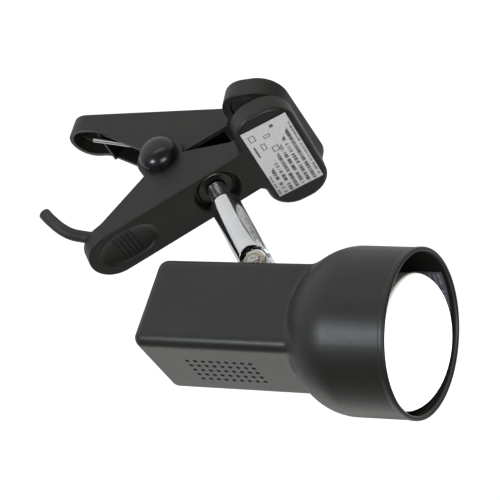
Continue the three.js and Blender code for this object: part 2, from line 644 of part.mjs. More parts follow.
// An angle strip: its foot is clamped under the knuckle's locknut and its leg carries the lampholder.
function buildBracket() {
  const inner = -CAN.side / 2 + WALL;
  const top = inner + GAP;
  const { x: rear, screw: reach } = HOLDER;
  const tilt = chain(move(rear, 0, 0), turn("y", -HOLDER.droop));
  const foot = block(rear - 1.9, CAN.behind + 8, -8, 8, top, top + 1.2);
  const leg = cut(block(-1.6, -GAP, -8, 8, top - 3, 12, tilt), block(0, 60, -20, 20, top - 10, top));
  const holes = [-1, 1].map((side) => transformed(rod("x", 1.7, -4, 2, 0, reach * side, 12), tilt));
  const spigotHole = rod("z", NIPPLE.radius + GAP, top - 2, top + 3, CAN.behind, 0);
  piece("holder_bracket", cut(join(foot, leg), spigotHole, ...holes), STEEL, can);
  const nutStart = top + 1.2 + GAP;
  const nut = cut(plate(hexagon(13), nutStart, nutStart + 2.2, 0.2), rod("z", NIPPLE.radius + GAP, -40, 0));
  piece("knuckle_locknut", transformed(nut, move(CAN.behind, 0, 0)), STEEL, can);
  [-1, 1].forEach((side, i) => {
    const pose = chain(move(-1.9, 0, reach * side), turn("y", -90));
    piece(`bracket_screw_${i + 1}`, transformed(screw(2.8, 1.5, 1.3, 8), pose), STEEL, holder);
  });
  const lead = (side) => [[CAN.behind + 1.2, 1.4 * side, -23.5], [CAN.behind + 0.6, 1.5 * side, -19.4],
    [38.2, 2.6 * side, -16.5], [31, 9.4 * side, -16.9], [24, 11 * side, -15.5], [19, 11 * side, -7],
    [20, 9.4 * side, -1.2], [25, 9 * side, -0.2], [34, 9 * side, 0.2]];
  piece("head_lead_brown", tube(lead(1), 0.9, 22, 3), BROWN, can);
  piece("head_lead_blue", tube(lead(-1), 0.9, 22, 3), BLUE, can);
}

// ---- Build: bulb ----
function buildBulb() {
  const bulb = new THREE.Group();
  bulb.position.x = BULB.x - HOLDER.x;
  holder.add(bulb);
  const { capRadius, glassRadius, length } = BULB;
  const profile = [[1.4, 4], [3, 6], [4.2, capRadius - 1.2]];
  for (let i = 0; i < 4; i++) {
    profile.push([5.4 + i * 4.5, capRadius], [7.6 + i * 4.5, capRadius - 0.8]);
  }
  profile.push([25, capRadius - 0.2], [26.5, capRadius - 0.2], [26.5, capRadius - 0.8]);
  profile.push([5, capRadius - 2], [3, 4], [1.4, 4]);
  piece("bulb_cap", turnedX(profile, 24), BRASS, bulb);
  piece("bulb_contact", turnedX([[0.2, 0], [0.4, 2], [1.2, 3.7], [2.8, 3.7], [2.8, 0]], 16), BRASS, bulb);
  const neck = [[27, 12.9], [33, 14], [42, 15.6], [52, 19], [62, 23.6], [73, 28], [84, 30.9]];
  const crown = [[93, glassRadius], [98, 30.2], [101.5, 25.5], [103.5, 15], [length, 0]];
  const outline = [...neck, ...crown];
  const hollow = outline.slice(0, -1).map(([x, r]) => [x - (x > 96 ? 1 : 0), r - 1]).reverse();
  piece("bulb_glass", turnedX([...outline, [length - 1, 0], ...hollow, outline[0]], 32), FROSTED, bulb);
  const mount = turnedX([[27.6, 0], [27.6, 5], [36, 4], [48, 2.4], [58, 2], [58, 0]], 16);
  const arms = [-1, 1].map((side) => rod("x", 0.4, 56, 70, 1.2 * side, 0, 8));
  piece("bulb_mount", join(mount, ...arms, rod("y", 0.5, -1.6, 1.6, 69.6, 0, 8)), STEEL, bulb);
}

buildClamp();
buildNipple();
buildCord();
buildStem();
buildKnuckle();
buildHousing();
buildHolder();
buildBracket();
buildBulb();

export default lamp;
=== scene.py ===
"""Looks for the clip-on clamp spotlight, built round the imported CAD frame.

Every shape is drawn in millimetres in the frame of its own part, then placed in the row frame in metres.
"""

import json
import math

import bpy
import numpy as np
from mathutils import Matrix, Vector


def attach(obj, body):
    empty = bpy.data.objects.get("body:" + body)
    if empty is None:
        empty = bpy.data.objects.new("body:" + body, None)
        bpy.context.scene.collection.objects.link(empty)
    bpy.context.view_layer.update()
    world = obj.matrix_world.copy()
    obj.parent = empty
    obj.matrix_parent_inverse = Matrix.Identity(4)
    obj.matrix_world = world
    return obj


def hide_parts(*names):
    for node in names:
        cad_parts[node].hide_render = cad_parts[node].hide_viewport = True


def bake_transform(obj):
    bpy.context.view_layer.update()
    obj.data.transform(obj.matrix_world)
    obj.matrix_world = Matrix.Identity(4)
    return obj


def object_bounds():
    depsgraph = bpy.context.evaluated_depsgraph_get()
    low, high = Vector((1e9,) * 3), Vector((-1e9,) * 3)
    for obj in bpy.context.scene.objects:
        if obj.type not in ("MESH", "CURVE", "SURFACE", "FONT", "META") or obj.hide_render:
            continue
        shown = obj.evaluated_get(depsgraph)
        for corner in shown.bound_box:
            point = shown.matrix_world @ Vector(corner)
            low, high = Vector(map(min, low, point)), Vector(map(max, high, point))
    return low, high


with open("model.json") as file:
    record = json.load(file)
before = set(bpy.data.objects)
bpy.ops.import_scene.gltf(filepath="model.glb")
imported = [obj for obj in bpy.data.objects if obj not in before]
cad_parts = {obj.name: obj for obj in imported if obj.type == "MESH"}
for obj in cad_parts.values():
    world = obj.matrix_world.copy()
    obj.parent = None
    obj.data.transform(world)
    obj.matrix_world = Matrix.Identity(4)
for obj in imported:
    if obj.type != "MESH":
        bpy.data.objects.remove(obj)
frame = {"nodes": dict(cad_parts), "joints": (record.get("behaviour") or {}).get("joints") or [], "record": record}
cad_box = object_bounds()

MM = 0.001

# ---- Driving dimensions, as in the CAD part ----
CLOSED_ANGLE = 37.8
PLATE = 2.4
WALL = 2.2
EAR = 12.5
STEM_ARM = dict(
    tip=-57.9, half=14.7, face=28.3, rim=19.6, rim_x=-43, rib_x=-47.6, rib_edge=19.3,
    jaw_rim=17.2, bend_x=33, tilt=6, turn=0, rear=4, left=34, right=36.6, corner=14,
)
PLAIN_ARM = dict(
    tip=-67, half=11.6, face=31.8, rim=21.6, rim_x=-49, rib_x=-44, rib_edge=18,
    jaw_rim=20.2, bend_x=30.2, tilt=4.5, turn=-2, rear=2.5, left=38.6, right=32.8, corner=14,
)
JAW = dict(front=36, neck=4.5, deep=10.8, nose_angle=13.6, nose_run=7)
PAD = dict(x=17.4, half_x=9.4, half_y=29, thick=3, corner=8, edge=0.9, pitch=4)
LABEL = dict(x=20.6, y=0.9, half_x=12.4, half_y=26.1)
THUMB = dict(x=-35.6, half_x=15.4, half_y=10.3, deep=2.3, ribs=5, pitch=2.4, shift=-1.3)
GAP = 0.3  # between neighbouring pieces
PIN_HOLE = 2.7
RIB_HALF = 0.6
RIM_FILLET = 12
SHEET = 0.25  # the thickness of the label and the sticker
# The plain boxes on the label: each one's centre, half sizes and line width along and across the sheet
LABEL_BOXES = [
    (6.8, 0.8, 2.1, 1.7, 0.5), (11.5, 5.6, 2.4, 1.2, 0.45), (20, 8.6, 2.2, 1.6, 0.45),
    (22.5, -3, 1.0, 1.0, 9), (17.5, 1.5, 1.2, 1.7, 0.45), (10, 10, 4.2, 0.5, 9),
]
STICKER_AT = dict(x=127.5, turn=30, half_x=7.5, half_arc=13)
SEAT = dict(x=16.4, radius=12.4, deep=4.6, floor=2.6, boss=13.9)
NIPPLE = dict(radius=4.9, bore=3.6, thread=0.6, pitch=1.25)
STEM = dict(radius=7.85, start=9, length=57.2, wall=1.3)
KNUCKLE = dict(shoulder=8.4, tongue=6.4, flat=5.6, screw=2, tilt=41.1, above=9.5, flange=9, spigot=5.5)
CAN = dict(side=47.3, corner=5.4, behind=41.56, wall=1.4)
BELL = dict(radius=39.5, dome=34, dome_x=108.3, rim_x=138.4, fillet=4.5)
VENT = dict(rows=5, columns=9, pitch=4.3, radius=1.05, first=24.4, offset=-1.5)
HOLDER = dict(x=26, droop=2.4)
BULB = dict(x=41.4, cap=13, glass=31.5, length=104.2)
CAP = dict(radius=10, height=8.6, skirt=2.2)
SPRING = dict(coil=8.6, wire=1, half=7.8, past=4, turns=5)
CORD = dict(radius=3.1, clamp_x=-33.5, clamp_y=3.2, reach=6.2)
CORD_PATH = [
    (-27, 3.2, 20.7), (-38, 3.4, 20.6), (-48.2, 7.6, 18.6), (-54.8, 10.5, 14.6),
    (-58.4, 13, 11.9), (-61.4, 15.5, 7.3), (-63.9, 17.5, 0.4), (-65.1, 18.5, -4.4),
]

# ---- The camera, in the stem arm's frame: where it stands, which way is right and down in the picture ----
CAMERA_AT = (71.9, 751.0, 756.4)
CAMERA_RIGHT = (0.853, -0.384, 0.353)
CAMERA_DOWN = (-0.519, -0.554, 0.651)
CAMERA_LENS = 150.5

# ---- The studio ----
# Lights by name, direction (right, up, towards the camera), distance, size, power and colour
LIGHTS = [
    ("top_softbox", (-0.35, 0.9, 0.35), 0.9, (0.7, 0.5), 2.5, (1, 0.995, 0.965)),
    ("table_glow", (-0.25, -0.75, -0.65), 0.8, (0.6, 0.4), 0.45, (1.0, 0.99, 0.95)),
    ("window", (-0.77, -0.08, 0.64), 0.6, (0.16, 0.16), 1.2, (0.86, 0.93, 1.0)),
    ("camera_fill", (0.25, -0.15, 0.95), 0.9, (0.5, 0.4), 3.0, (1, 0.99, 0.95)),
]
WORLD_FADE = (0.05, 0.7, 0.16, 1.05)  # the studio's brightness rises over this span, between these values
FLOOR_DROP = 0.16


# ---- Frames ----
def joint(name):
    return next(j for j in frame["joints"] if j["name"] == name)


def axes_matrix(origin, x, y, z):
    """The matrix from local millimetres, on unit axes x, y and z, to the row frame in metres."""
    rotation = Matrix((x, y, z)).transposed().to_4x4()
    return Matrix.Translation(origin) @ rotation @ Matrix.Scale(MM, 4)


def spin(axis, degrees):
    return Matrix.Rotation(math.radians(degrees), 4, axis)


def shift(x, y, z):
    return Matrix.Translation((x, y, z))


def arm_frame():
    y = Vector(joint("clamp_open")["axis"])
    z = Vector(joint("stem_swivel")["axis"])
    return axes_matrix(Vector(joint("clamp_open")["pos_m"]), y.cross(z), y, z)


def stem_frame():
    z = Vector(joint("stem_swivel")["axis"])
    y = Vector(joint("head_tilt")["axis"])
    return axes_matrix(Vector(joint("stem_swivel")["pos_m"]), y.cross(z), y, z)


STEM_ARM_FRAME = arm_frame()
PLAIN_ARM_FRAME = STEM_ARM_FRAME @ spin("Y", -CLOSED_ANGLE) @ spin("X", 180)
STEM_FRAME = stem_frame()
HEAD_FRAME = STEM_FRAME @ shift(0, 0, STEM["length"]) @ spin("Y", -KNUCKLE["tilt"])
CAN_FRAME = HEAD_FRAME @ shift(-CAN["behind"], 0, KNUCKLE["above"] + CAN["side"] / 2)
HOLDER_FRAME = CAN_FRAME @ shift(HOLDER["x"], 0, 0) @ spin("Y", -HOLDER["droop"])
BULB_FRAME = HOLDER_FRAME @ shift(BULB["x"] - HOLDER["x"], 0, 0)

ALONG_X = spin("Y", 90)  # a shape drawn along z comes to lie along x
ALONG_Y = spin("X", -90)  # a shape drawn along z comes to lie along y
UPRIGHT = spin("X", 90)  # a shape drawn in x and y comes to stand in x and z, and runs towards -y


def bend_frame(arm):
    return shift(arm["bend_x"], 0, arm["face"]) @ spin("Y", -arm["tilt"]) @ spin("Z", arm["turn"])


# ---- Outlines: lists of (x, y) points, anticlockwise ----
def arc(x, y, radius, start, end, steps=12):
    angles = np.radians(np.linspace(start, end, steps + 1))
    return [(x + radius * math.cos(a), y + radius * math.sin(a)) for a in angles]


def round_rect(x, y, half_x, half_y, corner, steps=10):
    right, left = x + half_x - corner, x - half_x + corner
    top, bottom = y + half_y - corner, y - half_y + corner
    return (
        arc(right, bottom, corner, -90, 0, steps)
        + arc(right, top, corner, 0, 90, steps)
        + arc(left, top, corner, 90, 180, steps)
        + arc(left, bottom, corner, 180, 270, steps)
    )


def oval(half_x, half_y, fullness=0.88, steps=96):
    """A slightly squared ellipse: a fullness of 1 would be a true one."""

    def swell(share):
        return math.copysign(abs(share) ** fullness, share)

    angles = np.linspace(0, 2 * math.pi, steps, endpoint=False)
    return [(half_x * swell(math.cos(a)), half_y * swell(math.sin(a))) for a in angles]


# ---- Meshes ----
def make(verts, faces, matrix=None, name="solid"):
    mesh = bpy.data.meshes.new(name)
    mesh.from_pydata([tuple(v) for v in verts], [], faces)
    if matrix is not None:
        mesh.transform(matrix)
    mesh.validate()
    obj = bpy.data.objects.new(name, mesh)
    bpy.context.scene.collection.objects.link(obj)
    return obj


def rings_to_faces(rings, closed=False):
    """Quads between neighbouring rings of vertex numbers; a ring of one vertex is a pole."""
    faces = []
    pairs = list(zip(rings, rings[1:]))
    if closed:
        pairs.append((rings[-1], rings[0]))
    for low, high in pairs:
        count = max(len(low), len(high))
        for i in range(count):
            j = (i + 1) % count
            if len(low) == 1:
                faces.append((low[0], high[j], high[i]))
            elif len(high) == 1:
                faces.append((low[i], low[j], high[0]))
            else:
                faces.append((low[i], low[j], high[j], high[i]))
    return faces


def inset_outline(outline, amount):
    """The outline moved inward by amount, each corner along its mitre."""
    points = np.array(outline, float)
    before = points - np.roll(points, 1, axis=0)
    after = np.roll(points, -1, axis=0) - points
    normals = []
    for edge in (before, after):
        length = np.linalg.norm(edge, axis=1, keepdims=True)
        normals.append(np.stack([-edge[:, 1], edge[:, 0]], axis=1) / np.maximum(length, 1e-9))
    mitre = normals[0] + normals[1]
    scale = np.maximum(np.sum(mitre * normals[0], axis=1, keepdims=True), 0.35)
    return points + amount * mitre / scale


def prism(outline, z0, z1, low=0.0, high=0.0, matrix=None, steps=5):
    """An outline raised from z0 to z1, with its bottom and top edges rounded by low and high."""
    outline = [p for i, p in enumerate(outline) if np.hypot(*np.subtract(p, outline[i - 1])) > 1e-6]
    levels = []
    if low:
        for a in np.linspace(0, math.pi / 2, steps + 1):
            levels.append((z0 + low * (1 - math.sin(a)), low * (1 - math.cos(a))))
        levels.reverse()
    else:
        levels.append((z0, 0))
    if high:
        for a in np.linspace(0, math.pi / 2, steps + 1):
            levels.append((z1 - high * (1 - math.sin(a)), high * (1 - math.cos(a))))
    else:
        levels.append((z1, 0))
    verts, rings = [], []
    for z, inset in levels:
        ring = inset_outline(outline, inset)
        rings.append(list(range(len(verts), len(verts) + len(ring))))
        verts += [(x, y, z) for x, y in ring]
    faces = rings_to_faces(rings)
    faces.append(tuple(reversed(rings[0])))
    faces.append(tuple(rings[-1]))
    return make(verts, faces, matrix)


def lathe(profile, matrix=None, segments=96, closed=False):
    """A profile of (z, radius) points turned about z; z rises along it, so its faces point outward."""
    verts, rings = [], []
    for z, radius in profile:
        if radius < 1e-6:
            rings.append([len(verts)])
            verts.append((0, 0, z))
            continue
        rings.append(list(range(len(verts), len(verts) + segments)))
        angles = np.linspace(0, 2 * math.pi, segments, endpoint=False)
        verts += [(radius * math.cos(a), radius * math.sin(a), z) for a in angles]
    return make(verts, rings_to_faces(rings, closed), matrix)


def rod(radius, z0, z1, matrix=None, segments=48):
    return lathe([(z0, 0), (z0, radius), (z1, radius), (z1, 0)], matrix, segments=segments)


def box(x0, x1, y0, y1, z0, z1, matrix=None):
    return prism([(x0, y0), (x1, y0), (x1, y1), (x0, y1)], z0, z1, matrix=matrix)


def smooth_path(points, count):
    """count points on a smooth spline through the given points."""
    p = np.array(points, float)
    p = np.vstack([2 * p[0] - p[1], p, 2 * p[-1] - p[-2]])
    spans = len(p) - 3
    out = []
    for t in np.linspace(0, spans - 1e-9, count):
        i, u = int(t), t - int(t)
        a, b, c, d = p[i : i + 4]
        linear, square, cube = c - a, 2 * a - 5 * b + 4 * c - d, 3 * b - a - 3 * c + d
        out.append(0.5 * (2 * b + linear * u + square * u**2 + cube * u**3))
    return np.array(out)


def tube(path, radius, matrix=None, sides=24, name="solid"):
    """A round tube along a dense path, carried without twist; its ends are slightly rounded off."""
    path = np.array(path, float)
    tangents = np.gradient(path, axis=0)
    tangents /= np.linalg.norm(tangents, axis=1, keepdims=True)
    side = np.cross(tangents[0], (0.3, 0.9, 0.2))
    verts, rings = [], []

    def ring(centre, across, up, r):
        rings.append(list(range(len(verts), len(verts) + sides)))
        for a in np.linspace(0, 2 * math.pi, sides, endpoint=False):
            verts.append(centre + r * (math.cos(a) * across + math.sin(a) * up))

    round_off = 0.12 * radius
    for k, (centre, tangent) in enumerate(zip(path, tangents)):
        side = side - tangent * np.dot(side, tangent)
        side /= np.linalg.norm(side)
        up = np.cross(tangent, side)
        if k == 0:
            ring(centre - tangent * round_off, side, up, radius - round_off)
        ring(centre, side, up, radius)
        if k == len(path) - 1:
            ring(centre + tangent * round_off, side, up, radius - round_off)
    faces = rings_to_faces(rings)
    faces.append(tuple(reversed(rings[0])))
    faces.append(tuple(rings[-1]))
    return make(verts, faces, matrix, name)


def bake(obj):
    """Applies the object's modifiers to its mesh."""
    graph = bpy.context.evaluated_depsgraph_get()
    mesh = bpy.data.meshes.new_from_object(obj.evaluated_get(graph))
    obj.modifiers.clear()
    obj.data = mesh
    return obj


def combine(obj, operation, *tools):
    """A boolean of obj with each tool in turn; the tools are used up."""
    for tool in tools:
        modifier = obj.modifiers.new("cut", "BOOLEAN")
        modifier.operation = operation
        modifier.solver = "MANIFOLD"
        modifier.object = tool
        bake(obj)
        bpy.data.objects.remove(tool)
    return obj


def cut(obj, *tools):
    return combine(obj, "DIFFERENCE", *tools)


def join(obj, *tools):
    return combine(obj, "UNION", *tools)


def overlap(obj, *tools):
    return combine(obj, "INTERSECT", *tools)


def shade(obj, angle=32):
    """Smooth shading with sharp edges kept, and face-weighted normals so that flats stay flat."""
    obj.data.polygons.foreach_set("use_smooth", [True] * len(obj.data.polygons))
    obj.data.set_sharp_from_angle(angle=math.radians(angle))
    if obj.name not in frame["nodes"]:
        obj.modifiers.new("normals", "WEIGHTED_NORMAL").keep_sharp = True


def finish_piece(obj, name, matrix, body, slot, *nodes, material=None, angle=32):
    """Names a piece, places it, shades it, and has it ride on its body in place of the CAD nodes.
    It takes its slot's material unless it is given one."""
    obj.name = name
    obj.data.name = name
    obj.data.transform(matrix)
    shade(obj, angle)
    obj.data.materials.clear()
    obj.data.materials.append(material or SLOT_MATERIALS[slot])
    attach(obj, body)
    if nodes:
        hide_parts(*nodes)
    return obj


# ---- Materials ----
class Nodes:
    """A small helper to write node trees: add nodes, link sockets, and set values by name."""

    def __init__(self, name):
        self.material = bpy.data.materials.new(name)
        self.material.use_nodes = True
        self.tree = self.material.node_tree
        self.shader = self.tree.nodes["Principled BSDF"]
        self.coords = self.add("ShaderNodeTexCoord").outputs["Object"]

    def add(self, kind, **values):
        node = self.tree.nodes.new(kind)
        for key, value in values.items():
            if hasattr(node, key):
                setattr(node, key, value)
            else:
                self.feed(node.inputs[key.replace("_", " ").title()], value)
        return node

    def feed(self, socket, value):
        if isinstance(value, bpy.types.NodeSocket):
            self.tree.links.new(value, socket)
        else:
            socket.default_value = value

    def put(self, **values):
        for key, value in values.items():
            self.feed(self.shader.inputs[key.replace("_", " ").title().replace("Ior", "IOR")], value)

    def noise(self, scale, detail=3.0, roughness=0.55, source=None):
        node = self.add("ShaderNodeTexNoise", scale=scale, detail=detail, roughness=roughness)
        self.feed(node.inputs["Vector"], source or self.coords)
        return node.outputs["Fac"]

    def ramp(self, value, low, high, at_low=0.35, at_high=0.65):
        node = self.add("ShaderNodeMapRange")
        for key, number in (("From Min", at_low), ("From Max", at_high), ("To Min", low), ("To Max", high)):
            node.inputs[key].default_value = number
        self.feed(node.inputs["Value"], value)
        return node.outputs["Result"]

    def mix(self, factor, a, b):
        node = self.add("ShaderNodeMix", data_type="RGBA")
        self.feed(node.inputs["Factor"], factor)
        self.feed(node.inputs[6], a if isinstance(a, bpy.types.NodeSocket) else (*a, 1))
        self.feed(node.inputs[7], b if isinstance(b, bpy.types.NodeSocket) else (*b, 1))
        return node.outputs[2]

    def math(self, operation, a, b=0.0, c=0.0):
        node = self.add("ShaderNodeMath", operation=operation)
        for socket, value in zip(node.inputs, (a, b, c)):
            self.feed(socket, value)
        return node.outputs[0]

    def bump(self, height, distance, strength=1.0, normal=None):
        node = self.add("ShaderNodeBump")
        node.inputs["Strength"].default_value = strength
        node.inputs["Distance"].default_value = distance
        self.feed(node.inputs["Height"], height)
        if normal is not None:
            self.feed(node.inputs["Normal"], normal)
        return node.outputs["Normal"]

    def rounded(self, radius_mm):
        """Normals that round every edge by a small radius."""
        node = self.add("ShaderNodeBevel", samples=6)
        node.inputs["Radius"].default_value = radius_mm * MM
        return node.outputs["Normal"]


def tint(colour, factor):
    return tuple(min(1.0, c * factor) for c in colour)


def moulded_plastic(name, colour, roughness=0.42, grain=0.03, edge=0.45):
    """Satin moulded plastic: fine spark-eroded grain, faint flow marks, and slightly polished patches."""
    n = Nodes(name)
    fine = n.noise(2600, 2.0)
    flow = n.noise(55, 4.0)
    n.put(base_color=n.mix(n.ramp(flow, 0, 1), tint(colour, 0.88), tint(colour, 1.14)))
    n.put(roughness=n.ramp(n.noise(90, 5.0), roughness - 0.05, roughness + 0.06))
    n.put(normal=n.bump(fine, grain * MM, 0.5, n.rounded(edge)))
    return n.material


def gloss_plastic(name, colour):
    n = Nodes(name)
    haze = n.noise(120, 5.0)
    n.put(base_color=n.mix(n.ramp(haze, 0, 1), colour, tint(colour, 1.5)))
    n.put(roughness=n.ramp(haze, 0.2, 0.26))
    n.put(coat_weight=0.2, coat_roughness=0.14)
    n.put(normal=n.bump(n.noise(300, 2.0), 0.006 * MM, 0.4, n.rounded(0.3)))
    return n.material


def enamel(name, colour, colour_in_light):
    """Satin stove enamel: orange peel, fine dust nibs and a soft sheen that varies over the surface."""
    n = Nodes(name)
    peel = n.noise(700, 2.0)
    cloud = n.noise(38, 4.0)
    nibs = n.ramp(n.noise(5200, 1.0), 0, 1, 0.68, 0.74)
    base = n.mix(n.ramp(cloud, 0, 1), colour, colour_in_light)
    n.put(base_color=n.mix(n.math("MULTIPLY", nibs, 0.25), base, tint(colour_in_light, 2.2)))
    n.put(roughness=n.ramp(n.noise(420, 4.0), 0.37, 0.41))
    n.put(normal=n.bump(peel, 0.012 * MM, 0.5, n.rounded(0.35)))
    return n.material


def rubber(name, colour):
    n = Nodes(name)
    n.put(base_color=n.mix(n.ramp(n.noise(160, 5.0), 0, 1), tint(colour, 0.8), tint(colour, 1.5)))
    n.put(roughness=n.ramp(n.noise(400, 3.0), 0.72, 0.88))
    n.put(normal=n.bump(n.noise(1800, 3.0), 0.05 * MM, 0.6, n.rounded(0.3)))
    return n.material


def chrome(name):
    """Bright plate: near mirror, with faint polishing lines and a little haze."""
    n = Nodes(name)
    haze = n.noise(60, 4.0)
    n.put(base_color=n.mix(n.ramp(haze, 0, 1), (0.74, 0.745, 0.76), (0.84, 0.84, 0.85)), metallic=1.0)
    n.put(roughness=n.ramp(n.noise(240, 5.0), 0.05, 0.11))
    n.put(normal=n.bump(n.noise(420, 2.0), 0.004 * MM, 0.35, n.rounded(0.25)))
    return n.material


def plated_steel(name, colour, roughness=0.3, edge=0.2):
    n = Nodes(name)
    cloud = n.noise(260, 5.0)
    n.put(base_color=n.mix(n.ramp(cloud, 0, 1), tint(colour, 0.88), tint(colour, 1.08)), metallic=1.0)
    n.put(roughness=n.ramp(n.noise(600, 3.0), roughness - 0.05, roughness + 0.06))
    n.put(normal=n.bump(n.noise(900, 3.0), 0.01 * MM, 0.4, n.rounded(edge)))
    return n.material


def cable_sheath(name, colour):
    n = Nodes(name)
    n.put(base_color=n.mix(n.ramp(n.noise(90, 4.0), 0, 1), tint(colour, 0.85), tint(colour, 1.2)))
    n.put(roughness=n.ramp(n.noise(220, 3.0), 0.42, 0.56))
    n.put(normal=n.bump(n.noise(1300, 2.0), 0.03 * MM, 0.4))
    return n.material


def woven_sleeve(name, colour):
    n = Nodes(name)
    wave = n.add("ShaderNodeTexWave", scale=420.0, distortion=1.5, wave_type="BANDS")
    n.feed(wave.inputs["Vector"], n.coords)
    n.put(base_color=n.mix(wave.outputs["Fac"], tint(colour, 0.7), tint(colour, 1.1)))
    n.put(roughness=0.85, normal=n.bump(wave.outputs["Fac"], 0.12 * MM, 0.7))
    return n.material


def box_mark(n, u, v, centre_u, centre_v, half_u, half_v, line):
    """A drawn box: 1 within line of its edge, 0 elsewhere."""
    away_u = n.math("SUBTRACT", n.math("ABSOLUTE", n.math("SUBTRACT", u, centre_u)), half_u)
    away_v = n.math("SUBTRACT", n.math("ABSOLUTE", n.math("SUBTRACT", v, centre_v)), half_v)
    edge = n.math("MAXIMUM", away_u, away_v)
    return n.math("MULTIPLY", n.math("GREATER_THAN", edge, -line), n.math("LESS_THAN", edge, 0))


def printed_label(name, colour, ink, row_pitch, text_end=(99, 0), boxes=()):
    """Foil paper with rows of plain dashes up to text_end (at the middle, and its slope), and plain boxes.
    The sheet carries its own coordinates in mm as attributes."""
    n = Nodes(name)
    u = n.add("ShaderNodeAttribute", attribute_name="across").outputs["Fac"]
    v = n.add("ShaderNodeAttribute", attribute_name="down").outputs["Fac"]
    row = n.math("FLOOR", n.math("DIVIDE", v, row_pitch))
    in_row = n.math("FRACT", n.math("DIVIDE", v, row_pitch))
    line = n.math("MULTIPLY", n.math("GREATER_THAN", in_row, 0.24), n.math("LESS_THAN", in_row, 0.78))
    stretch = n.add("ShaderNodeCombineXYZ")
    n.feed(stretch.inputs["X"], n.math("MULTIPLY", u, 0.42))
    n.feed(stretch.inputs["Y"], n.math("MULTIPLY", row, 17.3))
    words = n.noise(1.0, 1.0, 0.4, stretch.outputs["Vector"])
    fine = n.add("ShaderNodeCombineXYZ")
    n.feed(fine.inputs["X"], n.math("MULTIPLY", u, 1.9))
    n.feed(fine.inputs["Y"], n.math("MULTIPLY", row, 9.7))
    strokes = n.noise(1.0, 0.0, 0.5, fine.outputs["Vector"])
    printed = n.math("MULTIPLY", n.math("GREATER_THAN", words, 0.4), n.math("GREATER_THAN", strokes, 0.42))
    before_end = n.math("LESS_THAN", u, n.math("MULTIPLY_ADD", v, text_end[1], text_end[0]))
    inked = n.math("MULTIPLY", n.math("MULTIPLY", line, printed), before_end)
    for box_place in boxes:
        inked = n.math("MAXIMUM", inked, box_mark(n, u, v, *box_place))
    inked = n.math("MULTIPLY", inked, 0.85)
    margin = n.add("ShaderNodeAttribute", attribute_name="inside").outputs["Fac"]
    inked = n.math("MULTIPLY", inked, margin)
    foil = n.mix(n.ramp(n.noise(700, 4.0), 0, 1), tint(colour, 0.93), tint(colour, 1.06))
    n.put(base_color=n.mix(inked, foil, ink))
    n.put(roughness=n.ramp(n.noise(500, 3.0), 0.38, 0.5))
    n.put(normal=n.bump(n.noise(900, 3.0), 0.01 * MM, 0.4))
    return n.material


def bulb_glass(name):
    """Along the bulb: a mirror coat to just past the widest part, then milky frosting over the crown, which glows
    as painted light for its brightly lit face.
    """
    n = Nodes(name)
    along = n.add("ShaderNodeAttribute", attribute_name="along").outputs["Fac"]
    frosted = n.ramp(along, 0, 1, 92, 96.5)
    speckle = n.noise(1400, 3.0)
    silver = n.mix(n.ramp(speckle, 0, 1), (0.6, 0.59, 0.57), (0.7, 0.69, 0.67))
    milk = n.mix(n.ramp(speckle, 0, 1), (0.93, 0.93, 0.92), (0.97, 0.97, 0.96))
    n.put(base_color=n.mix(frosted, silver, milk), metallic=n.math("MULTIPLY_ADD", frosted, -0.4, 0.4))
    n.put(roughness=n.ramp(frosted, 0.3, 0.36, 0, 1))
    n.put(subsurface_weight=n.math("MULTIPLY", frosted, 0.3), subsurface_scale=0.003)
    # The frosted crown glows: painted light for its brightly lit face, which also brightens the inside of the
    # shade.
    n.put(emission_color=(1.0, 0.995, 0.97, 1), emission_strength=n.math("MULTIPLY", frosted, 1.8))
    n.put(normal=n.bump(speckle, 0.01 * MM, 0.3))
    return n.material


SLOT_MATERIALS = {
    "satin_plastic": moulded_plastic("satin_plastic", (0.0155, 0.0155, 0.0125)),
    "gloss_caps": gloss_plastic("gloss_caps", (0.006, 0.006, 0.007)),
    "black_paint": enamel("black_enamel", (0.0145, 0.0145, 0.0125), (0.018, 0.018, 0.0155)),
    "pad_rubber": rubber("pad_rubber", (0.018, 0.018, 0.018)),
    "chrome": chrome("chrome_plate"),
    "plated_steel": plated_steel("plated_steel", (0.52, 0.52, 0.51)),
    "dark_steel": plated_steel("dark_steel", (0.11, 0.11, 0.1), 0.42),
    "brass": plated_steel("brass", (0.72, 0.52, 0.25), 0.26),
    "cord_sheath": cable_sheath("cord_sheath", (0.027, 0.029, 0.023)),
    "core_brown": cable_sheath("core_brown", (0.13, 0.05, 0.02)),
    "core_blue": cable_sheath("core_blue", (0.03, 0.10, 0.32)),
    "sleeving": woven_sleeve("sleeving", (0.66, 0.56, 0.42)),
    "bakelite": moulded_plastic("bakelite", (0.016, 0.013, 0.011), 0.3, 0.01),
    "silver_label": printed_label(
        "silver_label", (0.9, 0.9, 0.9), (0.02, 0.02, 0.022), 3.3, (5, -1.3), LABEL_BOXES
    ),
    "frosted_glass": bulb_glass("bulb_glass_coating"),
}
# The nipple's plate is darkened: painted shade for the dim seat recess round the thread.
SHADED_THREAD_STEEL = plated_steel("thread_steel_painted_shade", (0.16, 0.16, 0.165), 0.26)
SPRING_STEEL = plated_steel("spring_steel", (0.72, 0.72, 0.71), 0.22)
STICKER_PAPER = printed_label("shade_sticker_paper", (0.12, 0.13, 0.165), (0.4, 0.41, 0.44), 2.2)


# ---- Clamp arms ----
def arm_outline(arm, inset=0.0):
    radius = arm["half"] - inset
    end = arm["bend_x"] + arm["rear"]
    return arc(arm["tip"] + arm["half"], 0, radius, 90, 270, 40) + [(end, -radius), (end, radius)]


